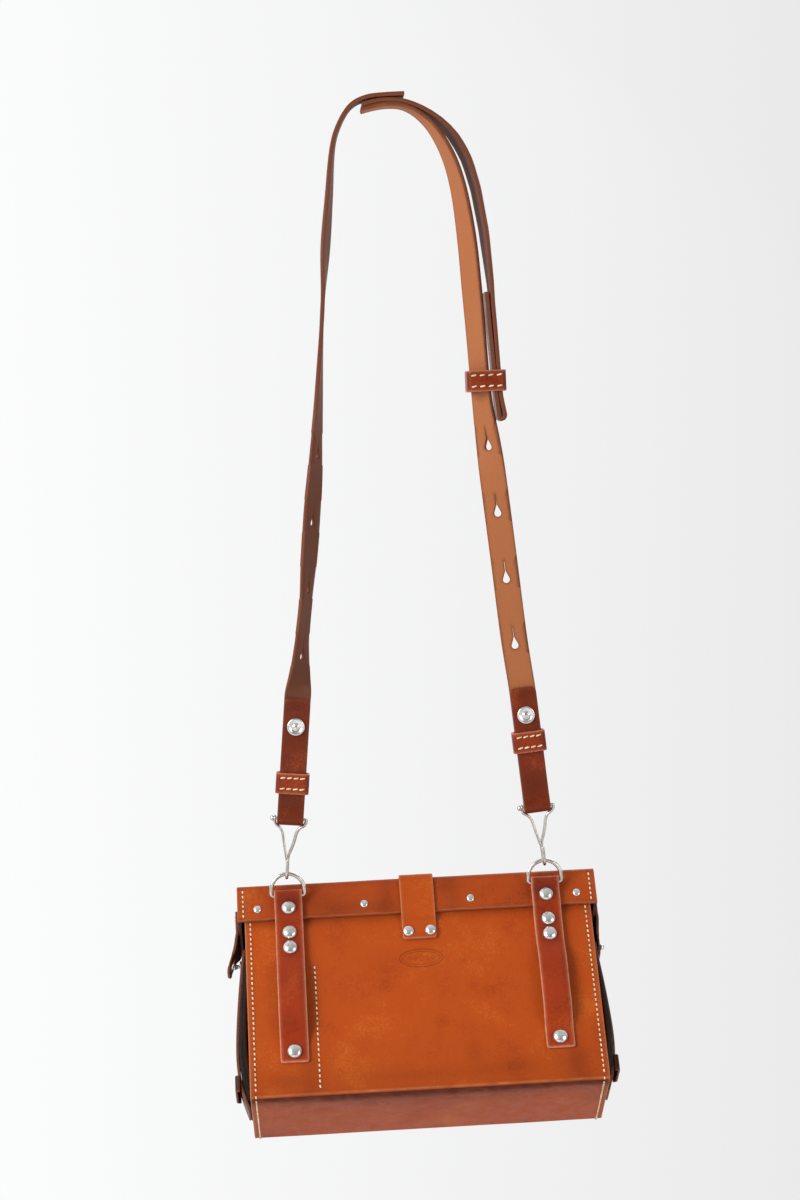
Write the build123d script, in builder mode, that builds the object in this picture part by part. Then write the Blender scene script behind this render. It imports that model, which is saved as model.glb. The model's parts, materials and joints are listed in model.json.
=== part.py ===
from build123d import *
from math import cos, hypot, radians, sin, tan
import os

# A stiff leather camera bag hanging from a hook by its shoulder strap.
# World frame: +Z up, +X to the right seen from the bag's back, +Y towards the bag's front.
# The origin is the underside of the strap where it rests on the hook.
# Bag frame: x to the right, y from the back panel to the front, z up along the back panel,
# with its origin at the top edge of the back panel. It leans as the bag really hangs.

# --- driving dimensions, millimetres and degrees -----------------------------------------
DROP = 558.0                # hook down to the bars of the two D-rings
HANG_TILT = 36.8            # lean of the bag that puts its weight under the D-rings
BAG_SHIFT = -4.0            # middle of the bag, sideways from the hook

BODY_WIDTH = 250.0
BODY_HEIGHT = 161.0
BODY_DEPTH = 82.0
BODY_LEATHER = 3.0
BODY_TOP = -4.0             # rim of the body under the lid
FOLD_RADIUS = 4.0
GUSSET_LEATHER = 2.4
GUSSET_BULGE = 5.0
GUSSET_FLANGE = 6.6
PARTITION_X = -76.0

LID_WIDTH = 260.0
LID_LEATHER = 3.0
SKIRT_HEIGHT = 28.0
LID_CLEARANCE = 0.6
LID_AXIS = (-1.5, -3.2)     # y, z of the lid's bend

BELT_STRAP_X = 93.0
BELT_STRAP_WIDTH = 20.0
BELT_STRAP_LEATHER = 2.2
BELT_STRAP_END = -137.0
BELT_GAP = 6.2              # room behind the strap for a waist belt
CLOSURE_WIDTH = 24.5
CLOSURE_LEATHER = 2.4
TONGUE_END = -72.0
TONGUE_HOLE_Z = -60.0

END_STRAP_WIDTH = 20.0
END_STRAP_LEATHER = 2.2
EAR_LEATHER = 2.2
EAR_TOP = -27.0
EAR_LENGTH = 25.0
EAR_FLARE = {"left": 16.0, "right": 0.0}
EAR_HOLE_Z = -44.0

RING_WIRE = 2.9
RING_BAR = (-7.15, -12.0)   # y, z of the D-ring's bar in the bag frame
RING_WIDTH = 24.0
RING_RISE = 16.0            # bar to the top of the ring, between wire centres

HOOK_WIRE = 2.4
HOOK_BAR_RISE = 40.0        # top of the ring to the hook's bar, between wire centres
HOOK_CURL = 4.4             # radius of the hook's curl at the wire's centre
STRAP_WIDTH = 19.0
STRAP_LEATHER = 3.0
STRAP_GAP = 0.2             # between doubled layers
LEG_LEAN = {"left": 6.2, "right": 4.8}
END_PIECE_TOP = 127.0       # these four are measured along the leg from the top of the D-ring
STRAP_STUD_RISE = 107.0
LEG_KEEPER_RISE = {"left": 66.0, "right": 87.5}
STRAP_HOLE_RISES = (157.5, 205.5, 253.5, 301.5)
STRAP_HOLE_RADIUS = 2.4
KEEPER_HEIGHT = 15.0
KEEPER_WALL = 2.0
KEEPER_PLAY = 0.5

SIDES = {"left": -1, "right": 1}

# --- frames ------------------------------------------------------------------------------
tilt = radians(HANG_TILT)
bag_y_dir = Vector(0, cos(tilt), -sin(tilt))
bag_z_dir = Vector(0, sin(tilt), cos(tilt))
bag_origin = Vector(BAG_SHIFT, 0, -DROP) - bag_y_dir * RING_BAR[0] - bag_z_dir * RING_BAR[1]
BAG = Plane(origin=bag_origin, x_dir=(1, 0, 0), z_dir=bag_z_dir)
BACK = Plane(origin=bag_origin, x_dir=(1, 0, 0), z_dir=bag_y_dir * -1)      # sketch x, z; out to the back
SIDE = Plane(origin=bag_origin, x_dir=bag_y_dir, z_dir=(1, 0, 0))           # sketch y, z; out to the right


def bag_point(x, y, z):
    return Vector(x, 0, 0) + bag_origin + bag_y_dir * y + bag_z_dir * z


def bag_direction(x, y, z):
    return Vector(x, 0, 0) + bag_y_dir * y + bag_z_dir * z


def ring_top(side):
    return Vector(BAG_SHIFT + SIDES[side] * BELT_STRAP_X, 0, RING_RISE - DROP)


def leg_direction(side):
    lean = radians(LEG_LEAN[side])
    return Vector(-SIDES[side] * sin(lean), 0, cos(lean))


def leg_face(side):
    """Plane of a strap leg seen from the back: x across the strap, y up the leg."""
    up = leg_direction(side)
    return Plane(origin=ring_top(side), x_dir=(up.Z, 0, -up.X), z_dir=(0, -1, 0))


def leg_edge(side):
    """Plane of a strap leg seen from its edge: x towards the bag's front, y up the leg."""
    up = leg_direction(side)
    return Plane(origin=ring_top(side), x_dir=(0, 1, 0), z_dir=(up.Z, 0, -up.X))


# --- shared shapes -----------------------------------------------------------------------
def bend_radii(points, largest):
    """Largest easy radius at each inner corner of a route."""
    radii = []
    for before, corner, after in zip(points, points[1:], points[2:]):
        run_in = Vector(corner[0] - before[0], corner[1] - before[1])
        run_out = Vector(after[0] - corner[0], after[1] - corner[1])
        half_turn = radians(run_in.get_angle(run_out)) / 2
        radii.append(min(largest, 0.45 * min(run_in.length, run_out.length) / tan(half_turn)))
    return radii


def sheet_profile(plane, points, thickness, largest_radius):
    """Section of a leather sheet whose middle follows the points."""
    with BuildSketch(plane) as profile:
        with BuildLine() as middle:
            FilletPolyline(*points, radius=bend_radii(points, largest_radius))
        trace(middle.line, line_width=thickness)
    return profile.sketch


def turned(origin, outward, radial, points):
    """Solid of revolution from (radius, height) points, the height along outward."""
    plane = Plane(origin=origin, x_dir=radial, z_dir=radial.cross(outward))
    with BuildSketch(plane) as profile:
        with BuildLine():
            Polyline(*points, close=True)
        make_face()
    revolve(profile.sketch, axis=Axis(origin, outward))


def rivet(origin, outward, head_radius, head_height, grip, shank_radius=1.5, tail_radius=3.4):
    """Domed rivet with its head's underside at the origin and its shank through the grip."""
    dome = [
        (head_radius * cos(radians(a)), head_height * (0.25 + 0.75 * sin(radians(a))))
        for a in (0, 22, 45, 68)
    ]
    tail = [(0, -grip - 1), (tail_radius, -grip - 1), (tail_radius, -grip), (shank_radius, -grip)]
    points = tail + [(shank_radius, 0), (head_radius, 0)] + dome + [(0, head_height)]
    turned(origin, outward, Vector(1, 0, 0), points)


def button_stud(origin, outward, radial, head_radius, neck_radius, height):
    """Button stud: a flat foot, a neck and a rounded head."""
    head = height - head_radius * 1.3
    points = [(0, 0), (neck_radius + 1.6, 0), (neck_radius + 1.6, 0.8), (neck_radius, 0.8)]
    points += [(neck_radius, head), (head_radius * 0.8, head + 0.5)]
    points += [(head_radius, head_radius * 0.6 + head)]
    points += [(head_radius * 0.75, height - head_radius * 0.25), (0, height)]
    turned(origin, outward, radial, points)


def round_hole(origin, direction, radius, depth):
    """Round hole from the origin along the direction."""
    with BuildSketch(Plane(origin=origin, z_dir=direction)) as opening:
        Circle(radius)
    extrude(opening.sketch, amount=depth, mode=Mode.SUBTRACT)


def rod(start, end, radius):
    """Round wire run with a ball at its end."""
    with BuildSketch(Plane(origin=start, z_dir=end - start)) as section:
        Circle(radius)
    extrude(section.sketch, amount=(end - start).length)
    with Locations(end):
        Sphere(radius)


def finish(piece, name):
    piece.part.label = name
    export_step(piece.part, f"parts/{name}.step")


os.makedirs("parts", exist_ok=True)
back_dir = bag_y_dir * -1

# --- rivet places, bag frame x and z -------------------------------------------------------
FLANGE_RIVETS = [(x, -19.5) for x in (-115.5, -38.5, 38.5, 115.5)]
CLOSURE_RIVETS = [(-8.0, -42.7), (8.0, -42.7)]
FLANGE_ZONE_RIVET_Z = -21.5
PAIR_RIVET_ZS = (-39.5, -51.5)
END_RIVET_Z = -129.0
RIVET_SHANK = 1.5

# --- body: one sheet folded into back, bottom and front ------------------------------------
half_leather = BODY_LEATHER / 2
with BuildPart() as body_panel:
    body_route = [
        (half_leather, BODY_TOP),
        (half_leather, half_leather - BODY_HEIGHT),
        (BODY_DEPTH - half_leather, half_leather - BODY_HEIGHT),
        (BODY_DEPTH - half_leather, BODY_TOP),
    ]
    body_end = SIDE.offset(-BODY_WIDTH / 2)
    extrude(sheet_profile(body_end, body_route, BODY_LEATHER, FOLD_RADIUS), amount=BODY_WIDTH)
    panel_rivets = FLANGE_RIVETS + CLOSURE_RIVETS
    for sign in SIDES.values():
        for rivet_z in (FLANGE_ZONE_RIVET_Z, *PAIR_RIVET_ZS, END_RIVET_Z):
            panel_rivets = panel_rivets + [(sign * BELT_STRAP_X, rivet_z)]
    for hole_x, hole_z in panel_rivets:
        round_hole(bag_point(hole_x, -1, hole_z), bag_y_dir, RIVET_SHANK, BODY_LEATHER + 2)
finish(body_panel, "body_panel")

# --- end gussets: bulging walls with flanges sewn inside the body sheet ---------------------
GUSSET_BOTTOM = 3.5 - BODY_HEIGHT
GUSSET_SHOULDER = -30.0     # below here the gusset bulges out
gusset_back = BODY_LEATHER + 0.2
gusset_depth = BODY_DEPTH - 2 * gusset_back


def gusset_outline(sign, inset, top):
    """Closed outline of the gusset seen from the back, shrunk by the inset."""
    edge = BODY_WIDTH / 2 - inset
    inner = BODY_WIDTH / 2 - GUSSET_FLANGE - inset / 2
    bottom = GUSSET_BOTTOM + inset
    middle = (GUSSET_SHOULDER + GUSSET_BOTTOM) / 2
    with BuildLine() as outline:
        Polyline((sign * edge, bottom), (sign * inner, bottom), (sign * inner, top))
        Polyline((sign * inner, top), (sign * edge, top), (sign * edge, GUSSET_SHOULDER))
        ThreePointArc(
            (sign * edge, GUSSET_SHOULDER),
            (sign * (edge + GUSSET_BULGE), middle),
            (sign * edge, bottom),
        )
    return outline.line


for side, sign in SIDES.items():
    with BuildPart() as gusset:
        with BuildSketch(BACK.offset(-gusset_back - gusset_depth)) as outer:
            make_face(gusset_outline(sign, 0, BODY_TOP - 2).edges())
        extrude(outer.sketch, amount=gusset_depth)
        with BuildSketch(BACK.offset(GUSSET_LEATHER - gusset_back - gusset_depth)) as inner:
            make_face(gusset_outline(sign, GUSSET_LEATHER, BODY_TOP + 5).edges())
        extrude(inner.sketch, amount=gusset_depth - 2 * GUSSET_LEATHER, mode=Mode.SUBTRACT)
        lowest = gusset.edges().filter_by(Axis.X).sort_by(Axis(bag_origin, bag_z_dir))[:2]
        fillet(lowest, FOLD_RADIUS - 1)
    finish(gusset, f"gusset_{side}")

# --- partition: a web across the inside, with a sewn flange on the back and the front ------
PARTITION_LEATHER = 2.4
PARTITION_TOP = -62.0
PARTITION_FLANGE = 12.0
with BuildPart() as partition:
    flange_end = PARTITION_X + PARTITION_FLANGE / 2
    web_x = PARTITION_X - PARTITION_FLANGE / 2
    near_back = BODY_LEATHER + 0.1 + PARTITION_LEATHER / 2
    near_front = BODY_DEPTH - near_back
    route = [(flange_end, near_back), (web_x, near_back), (web_x, near_front), (flange_end, near_front)]
    partition_bottom = BODY_LEATHER + FOLD_RADIUS - 1 - BODY_HEIGHT
    extrude(
        sheet_profile(BAG.offset(partition_bottom), route, PARTITION_LEATHER, 3),
        amount=PARTITION_TOP - partition_bottom,
    )
finish(partition, "partition")

# --- back flange of the lid, held to the body by four small rivets -------------------------
FLANGE_TOP = -3.6
flange_out = LID_LEATHER
with BuildPart() as back_flange:
    with BuildSketch(BACK.offset(0.1)):
        with Locations((0, (FLANGE_TOP - SKIRT_HEIGHT) / 2)):
            Rectangle(LID_WIDTH, FLANGE_TOP + SKIRT_HEIGHT)
    extrude(amount=flange_out - 0.1)
    for hole_x, hole_z in FLANGE_RIVETS:
        round_hole(bag_point(hole_x, 0, hole_z), back_dir, RIVET_SHANK, flange_out + 1)
    for sign in SIDES.values():
        strap_rivet = bag_point(sign * BELT_STRAP_X, 0, FLANGE_ZONE_RIVET_Z)
        round_hole(strap_rivet, back_dir, RIVET_SHANK, flange_out + 1)
finish(back_flange, "back_flange")

with BuildPart() as flange_rivets:
    for rivet_x, rivet_z in FLANGE_RIVETS:
        place = bag_point(rivet_x, -flange_out, rivet_z)
        rivet(place, back_dir, 3.0, 1.4, flange_out + BODY_LEATHER, tail_radius=2.6)
finish(flange_rivets, "flange_rivets")

# --- belt straps: folded round the D-ring bars, bowed off the body for a belt --------------
half_strap = BELT_STRAP_LEATHER / 2
over_flange = -flange_out - half_strap                    # back layer, over the flange
doubled = over_flange - BELT_STRAP_LEATHER - 0.1          # front layer, over the back one
on_body = -half_strap - 0.1
doubled_on_body = on_body - BELT_STRAP_LEATHER - 0.1
fold_radius = over_flange - RING_BAR[0]
bowed = -BELT_GAP - half_strap
fold_top = RING_BAR[1] + fold_radius
belt_back_route = [
    (on_body, -57.5),
    (on_body, -33.6),
    (over_flange, -29.0),
    (over_flange, RING_BAR[1]),
]
belt_front_route = [
    (RING_BAR[0] - fold_radius, RING_BAR[1]),
    (RING_BAR[0] - fold_radius, RING_BAR[1] - 1.2),
    (doubled, RING_BAR[1] - 5.2),
    (doubled, -29.8),
    (doubled_on_body, -34.4),
    (doubled_on_body, -58.5),
    (bowed, -70.0),
    (bowed, -108.0),
    (on_body, -121.5),
    (on_body, BELT_STRAP_END),
]
belt_front_fillets = [1.5, 2.0, 2.0, 2.0, 8.0, 12.0, 12.0, 8.0]
BIG_RIVET_HEAD = 5.4
BIG_RIVET_HEIGHT = 3.2
belt_rivet_faces = {
    FLANGE_ZONE_RIVET_Z: doubled - half_strap,
    PAIR_RIVET_ZS[0]: doubled_on_body - half_strap,
    PAIR_RIVET_ZS[1]: doubled_on_body - half_strap,
    END_RIVET_Z: on_body - half_strap,
}
for side, sign in SIDES.items():
    with BuildPart() as belt_strap:
        with BuildSketch(SIDE.offset(sign * BELT_STRAP_X - BELT_STRAP_WIDTH / 2)) as profile:
            with BuildLine() as middle:
                FilletPolyline(*belt_back_route, radius=2)
                ThreePointArc(belt_back_route[-1], (RING_BAR[0], fold_top), belt_front_route[0])
                FilletPolyline(*belt_front_route, radius=belt_front_fillets)
            trace(middle.line, line_width=BELT_STRAP_LEATHER)
        extrude(profile.sketch, amount=BELT_STRAP_WIDTH)
        for rivet_z, face_y in belt_rivet_faces.items():
            round_hole(bag_point(sign * BELT_STRAP_X, 0, rivet_z), back_dir, RIVET_SHANK, 12)
            round_hole(bag_point(sign * BELT_STRAP_X, face_y, rivet_z), back_dir, BIG_RIVET_HEAD + 0.1, 6)
    finish(belt_strap, f"belt_strap_{side}")

with BuildPart() as belt_rivets:
    for sign in SIDES.values():
        for rivet_z, face_y in belt_rivet_faces.items():
            place = bag_point(sign * BELT_STRAP_X, face_y, rivet_z)
            rivet(place, back_dir, BIG_RIVET_HEAD, BIG_RIVET_HEIGHT, BODY_LEATHER - face_y)
finish(belt_rivets, "belt_rivets")

# --- D-rings -------------------------------------------------------------------------------
for side, sign in SIDES.items():
    with BuildPart() as d_ring:
        ring_plane = Plane(origin=ring_top(side) - Vector(0, 0, RING_RISE), x_dir=(1, 0, 0), z_dir=(0, -1, 0))
        half = RING_WIDTH / 2
        with BuildLine(ring_plane) as ring_line:
            Polyline((0, 0), (half - 2, 0))
            RadiusArc((half - 2, 0), (half, 2), -2)
            Polyline((half, 2), (half, RING_RISE - half))
            ThreePointArc((half, RING_RISE - half), (0, RING_RISE), (-half, RING_RISE - half))
            Polyline((-half, RING_RISE - half), (-half, 2))
            RadiusArc((-half, 2), (2 - half, 0), -2)
            Polyline((2 - half, 0), (0, 0))
        with BuildSketch(Plane(origin=ring_plane.origin, z_dir=(1, 0, 0))) as section:
            Circle(RING_WIRE / 2)
        sweep(section.sketch, path=ring_line.wires()[0])
    finish(d_ring, f"d_ring_{side}")

# --- snap hooks: a bent wire frame with a curl, and a sprung gate ---------------------------
wire = HOOK_WIRE / 2
BAR_REACH = 11.4
ARM_REACH = 10.9
NECK_RISE = 14.5
TIP_RISE = 10.5
GATE_LIFT = 9.2             # height of the gate's tip inside the hook
curl_centre = HOOK_CURL - wire - RING_WIRE / 2 - 0.15
EYE_WIDTH = 1.4
for side, sign in SIDES.items():
    face = leg_face(side)
    edge = leg_edge(side)
    bar_left = face.from_local_coords((-BAR_REACH - 1.3, HOOK_BAR_RISE, 0))
    bar_right = face.from_local_coords((BAR_REACH, HOOK_BAR_RISE, 0))
    shoulder = face.from_local_coords((ARM_REACH, HOOK_BAR_RISE - 5, 0))
    neck = face.from_local_coords((0, NECK_RISE, -HOOK_CURL))
    with BuildPart() as snap_hook:
        rod(bar_left, bar_right, wire)
        rod(bar_right, shoulder, wire)
        rod(shoulder, neck, wire)
        with BuildLine(edge) as curl_line:
            Polyline((HOOK_CURL, NECK_RISE), (HOOK_CURL, curl_centre))
            ThreePointArc((HOOK_CURL, curl_centre), (0, curl_centre - HOOK_CURL), (-HOOK_CURL, curl_centre))
            Polyline((-HOOK_CURL, curl_centre), (-HOOK_CURL, TIP_RISE))
        with BuildSketch(Plane(origin=neck, z_dir=leg_direction(side))) as section:
            Circle(wire)
        sweep(section.sketch, path=curl_line.wires()[0])
        with Locations(edge.from_local_coords((-HOOK_CURL, TIP_RISE, 0))):
            Sphere(wire)
        with BuildSketch(edge.offset(-BAR_REACH - 1.3)) as bar_head:
            with Locations((0, HOOK_BAR_RISE)):
                Circle(wire + 0.8)
        extrude(bar_head.sketch, amount=0.9)
    finish(snap_hook, f"snap_hook_{side}")

    with BuildPart() as hook_gate:
        with BuildSketch(edge.offset(-BAR_REACH - 0.2)) as eye:
            with Locations((0, HOOK_BAR_RISE)):
                Circle(wire + 1.6)
                Circle(wire + 0.2, mode=Mode.SUBTRACT)
        extrude(eye.sketch, amount=EYE_WIDTH)
        eye_x = EYE_WIDTH / 2 - BAR_REACH - 0.2
        top = face.from_local_coords((eye_x, HOOK_BAR_RISE - wire - 1.1, 0))
        knee = face.from_local_coords((eye_x + 0.4, HOOK_BAR_RISE - 5.5, 0))
        tip = face.from_local_coords((-0.6, GATE_LIFT, HOOK_CURL - wire - 1.2))
        rod(top, knee, 0.8)
        rod(knee, tip, 0.9)
    finish(hook_gate, f"hook_gate_{side}")

# --- shoulder strap ------------------------------------------------------------------------
# Each leg is folded round its hook's bar, doubled up as an end piece and held by a stud.
# Above the end piece a leg is a flat strap that turns edge-on on its way to the hook:
# a route point is x, z and the turn of its width away from the bag's own width.
STRAP_ROUTES = {
    "left": [
        (-81.2, -400.0, 40), (-78.2, -375.0, 62), (-74.0, -345.0, 66), (-70.6, -318.0, 58),
        (-66.5, -283.0, 55), (-62.4, -248.0, 64), (-58.4, -205.0, 78), (-52.6, -140.0, 90),
        (-48.2, -97.0, 76), (-44.2, -61.0, 80), (-40.2, -28.0, 86), (-35.0, -11.5, 88),
        (-26.3, 1.5, 90), (-15.0, 6.9, 90), (-2.0, 8.1, 90), (12.0, 8.3, 90),
    ],
    "right": [
        (73.9, -378.0, 2), (69.0, -322.0, 5), (64.2, -268.0, 14), (61.5, -240.0, 32),
        (58.8, -215.0, 50), (57.5, -195.0, 54), (55.8, -160.0, 53), (54.3, -128.0, 52),
        (52.3, -95.0, 55), (49.3, -67.0, 62), (44.8, -45.0, 68), (38.5, -28.0, 74),
        (30.5, -14.5, 80), (21.0, -5.2, 86), (11.0, 0.1, 90), (1.0, 1.5, 90),
        (-9.0, 0.7, 90), (-19.0, -1.4, 90),
    ],
}
layer = (STRAP_LEATHER + STRAP_GAP) / 2                   # middle of a layer from the middle of the pair
bar_fold = wire + 0.6 + STRAP_LEATHER / 2                # fold radius at the leather's middle


def strap_frame(points, index, sign):
    """Section plane of the strap at one route point: x across the strap, z along it."""
    x, y, z, turn = points[index]
    before = points[max(index - 1, 0)]
    after = points[min(index + 1, len(points) - 1)]
    run = Vector(after[0] - before[0], 0, after[2] - before[2]).normalized()
    across = Vector(run.Z, 0, -run.X) * cos(radians(turn)) + Vector(0, -sign * sin(radians(turn)), 0)
    return Plane(origin=(x, y, z), x_dir=across, z_dir=run)


def place_along(points, distance):
    """Index of the route run that holds a distance from the start, and how far along it is."""
    for index, (start, end) in enumerate(zip(points, points[1:])):
        run = hypot(end[0] - start[0], end[2] - start[2])
        if distance <= run:
            return index, distance / run
        distance -= run
    raise ValueError("past the end of the route")


for side, sign in SIDES.items():
    face = leg_face(side)
    edge = leg_edge(side)
    leg_start = face.from_local_coords((0, END_PIECE_TOP, -layer))
    route = [(leg_start.X, leg_start.Y, leg_start.Z, 0)]
    for step, (route_x, route_z, turn) in enumerate(STRAP_ROUTES[side]):
        route.append((route_x, layer / 2 if step == 0 else 0, route_z, turn))
    with BuildPart() as strap:
        down_route = [
            (layer, END_PIECE_TOP),
            (layer, HOOK_BAR_RISE + 9),
            (bar_fold, HOOK_BAR_RISE + 1.5),
            (bar_fold, HOOK_BAR_RISE),
        ]
        up_route = [
            (-bar_fold, HOOK_BAR_RISE),
            (-bar_fold, HOOK_BAR_RISE + 1.5),
            (-layer, HOOK_BAR_RISE + 9),
            (-layer, HOOK_BAR_RISE + 20),
        ]
        with BuildSketch(edge.offset(-STRAP_WIDTH / 2)) as fold:
            with BuildLine() as fold_line:
                FilletPolyline(*down_route, radius=4)
                ThreePointArc(down_route[-1], (0, HOOK_BAR_RISE - bar_fold), up_route[0])
                FilletPolyline(*up_route, radius=4)
            trace(fold_line.line, line_width=STRAP_LEATHER)
        extrude(fold.sketch, amount=STRAP_WIDTH)
        end_low = HOOK_BAR_RISE + 19
        with BuildSketch(face.offset(layer - STRAP_LEATHER / 2)) as end_piece:
            with Locations((0, (end_low + END_PIECE_TOP) / 2)):
                Rectangle(STRAP_WIDTH, END_PIECE_TOP - end_low)
            fillet(end_piece.vertices().sort_by(Axis.Y)[-2:], 4)
        extrude(end_piece.sketch, amount=STRAP_LEATHER)
        sections = []
        for index in range(len(route)):
            with BuildSketch(strap_frame(route, index, sign)) as section:
                Rectangle(STRAP_WIDTH, STRAP_LEATHER)
            sections.append(section.sketch)
        loft(sections, ruled=True)
        for rise in STRAP_HOLE_RISES:
            index, part_way = place_along(route, rise - END_PIECE_TOP)
            start = strap_frame(route, index, sign)
            end = strap_frame(route, index + 1, sign)
            middle = start.origin * (1 - part_way) + end.origin * part_way
            through = (start.y_dir * (1 - part_way) + end.y_dir * part_way).normalized()
            round_hole(middle - through * 4, through, STRAP_HOLE_RADIUS, 8)
        stud_place = face.from_local_coords((0, STRAP_STUD_RISE, -8))
        round_hole(stud_place, face.z_dir, 2.2, 16)
    finish(strap, f"strap_{side}")

    with BuildPart() as strap_stud:
        grip = 2 * layer + STRAP_LEATHER
        stud_points = [
            (0, -grip - 1), (4, -grip - 1), (4, -grip), (2.2, -grip), (2.2, 0), (6.5, 0), (6.5, 0.9),
            (5.9, 1.5), (4.8, 1.5), (3.6, 0.6), (2.3, 0.6), (2.0, 1.3), (0, 1.6),
        ]
        stud_place = face.from_local_coords((0, STRAP_STUD_RISE, layer + STRAP_LEATHER / 2))
        turned(stud_place, face.z_dir, face.x_dir, stud_points)
    finish(strap_stud, f"strap_stud_{side}")

    with BuildPart() as leg_keeper:
        room_wide = STRAP_WIDTH + 2 * KEEPER_PLAY
        room_deep = 2 * layer + STRAP_LEATHER + 2 * KEEPER_PLAY
        keeper_low = LEG_KEEPER_RISE[side] - KEEPER_HEIGHT / 2
        keeper_foot = face.from_local_coords((0, keeper_low, 0))
        with BuildSketch(Plane(origin=keeper_foot, x_dir=face.x_dir, z_dir=face.y_dir)):
            RectangleRounded(room_wide + 2 * KEEPER_WALL, room_deep + 2 * KEEPER_WALL, 2)
            Rectangle(room_wide, room_deep, mode=Mode.SUBTRACT)
        extrude(amount=KEEPER_HEIGHT)
    finish(leg_keeper, f"keeper_{side}")

# The extension strap lies over the right leg's end on the hook, runs down outside the leg,
# turns back inside the middle keeper and ends on its way up.
EXTENSION_ROUTE = [
    (-18.0, 2.0), (-9.0, 4.2), (1.0, 4.8), (12.0, 3.6), (24.0, -1.8), (36.0, -10.0), (46.0, -21.5),
    (54.5, -38.0), (60.2, -60.0), (64.3, -88.0), (67.5, -125.0), (69.2, -160.0), (70.6, -192.0),
    (71.2, -206.0), (74.0, -221.5), (69.6, -223.5), (67.9, -206.0), (67.3, -192.0), (65.4, -160.0),
    (64.0, -131.0),
]
with BuildPart() as strap_extension:
    strap_edge_plane = Plane(origin=(0, STRAP_WIDTH / 2, 0), x_dir=(1, 0, 0), z_dir=(0, -1, 0))
    extrude(sheet_profile(strap_edge_plane, EXTENSION_ROUTE, STRAP_LEATHER, 60), amount=STRAP_WIDTH)
finish(strap_extension, "strap_extension")

MIDDLE_KEEPER_Z = -195.0
MIDDLE_KEEPER_X = (49.2, 73.4)          # room inside it
with BuildPart() as keeper_middle:
    room = MIDDLE_KEEPER_X[1] - MIDDLE_KEEPER_X[0]
    place = ((MIDDLE_KEEPER_X[0] + MIDDLE_KEEPER_X[1]) / 2, 0, MIDDLE_KEEPER_Z - KEEPER_HEIGHT / 2)
    with BuildSketch(Plane(origin=place, x_dir=(1, 0, 0), z_dir=(0, 0, 1))):
        room_deep = STRAP_WIDTH + 2 * KEEPER_PLAY
        RectangleRounded(room + 2 * KEEPER_WALL, room_deep + 2 * KEEPER_WALL, 3)
        Rectangle(room, room_deep, mode=Mode.SUBTRACT)
    extrude(amount=KEEPER_HEIGHT)
finish(keeper_middle, "keeper_middle")

# --- lid: top and front skirt in one sheet, and an end skirt on each side -------------------
half_lid = LID_LEATHER / 2
skirt_inside = BODY_DEPTH + LID_CLEARANCE
lid_back = LID_AXIS[0] + 0.2
with BuildPart() as lid_cover:
    skirt_y = skirt_inside + half_lid
    lid_route = [(lid_back, -half_lid), (skirt_y, -half_lid), (skirt_y, -SKIRT_HEIGHT)]
    extrude(sheet_profile(SIDE.offset(-LID_WIDTH / 2), lid_route, LID_LEATHER, 3.2), amount=LID_WIDTH)
finish(lid_cover, "lid_cover")

LID_END_LEATHER = 2.7
for side, sign in SIDES.items():
    with BuildPart() as lid_end:
        low_y = 0.8
        high_y = skirt_inside - 0.2
        outside = sign * LID_WIDTH / 2
        with BuildSketch(SIDE.offset(min(outside, outside - sign * LID_END_LEATHER))) as end_outline:
            with BuildLine():
                Polyline(
                    (low_y, -LID_LEATHER - 0.1),
                    (high_y, -LID_LEATHER - 0.1),
                    (high_y, -SKIRT_HEIGHT),
                    (low_y, -SKIRT_HEIGHT),
                    close=True,
                )
            make_face()
            fillet(end_outline.vertices().sort_by(Axis((0, 0, 0), (1, 1, 0)))[-1:], 2.2)
        extrude(amount=LID_END_LEATHER)
    finish(lid_end, f"lid_end_{side}")

# --- ears: tongues on the lid's end skirts that button onto the studs below -----------------
ear_out = LID_WIDTH / 2 + 0.6 + EAR_LEATHER / 2
EAR_ROOT_WIDTH = 44.0
EAR_TIP_WIDTH = 22.0
for side, sign in SIDES.items():
    flare = radians(EAR_FLARE[side])
    outward = bag_direction(sign * cos(flare), 0, sin(flare))
    hinge = bag_point(sign * ear_out, BODY_DEPTH / 2, EAR_TOP)
    ear_plane = Plane(origin=hinge, x_dir=bag_y_dir * sign, z_dir=outward)
    with BuildPart() as ear:
        with BuildSketch(ear_plane.offset(-EAR_LEATHER / 2)) as outline:
            with BuildLine():
                Polyline(
                    (-EAR_ROOT_WIDTH / 2, -0.4),
                    (EAR_ROOT_WIDTH / 2, -0.4),
                    (EAR_TIP_WIDTH / 2, -EAR_LENGTH * 0.5),
                    (EAR_TIP_WIDTH / 2, -EAR_LENGTH),
                    (-EAR_TIP_WIDTH / 2, -EAR_LENGTH),
                    (-EAR_TIP_WIDTH / 2, -EAR_LENGTH * 0.5),
                    close=True,
                )
            make_face()
            fillet(outline.vertices().sort_by(Axis.Y)[:2], 8)
            with Locations((0, EAR_HOLE_Z - EAR_TOP)):
                SlotOverall(11, 7.4, rotation=90, mode=Mode.SUBTRACT)
        extrude(outline.sketch, amount=EAR_LEATHER)
    finish(ear, f"ear_{side}")

# --- end straps, their small keepers and the ear studs -------------------------------------
END_STRAP_TOP = -34.0
END_KEEPER_Z = -138.0
bulge_half = (GUSSET_SHOULDER - GUSSET_BOTTOM) / 2
bulge_middle = (GUSSET_SHOULDER + GUSSET_BOTTOM) / 2
bulge_radius = (bulge_half ** 2 + GUSSET_BULGE ** 2) / (2 * GUSSET_BULGE)


def gusset_face(z):
    """How far out the gusset's outer face is at a height."""
    crown = BODY_WIDTH / 2 + GUSSET_BULGE
    return crown - bulge_radius + (bulge_radius ** 2 - (z - bulge_middle) ** 2) ** 0.5


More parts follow.
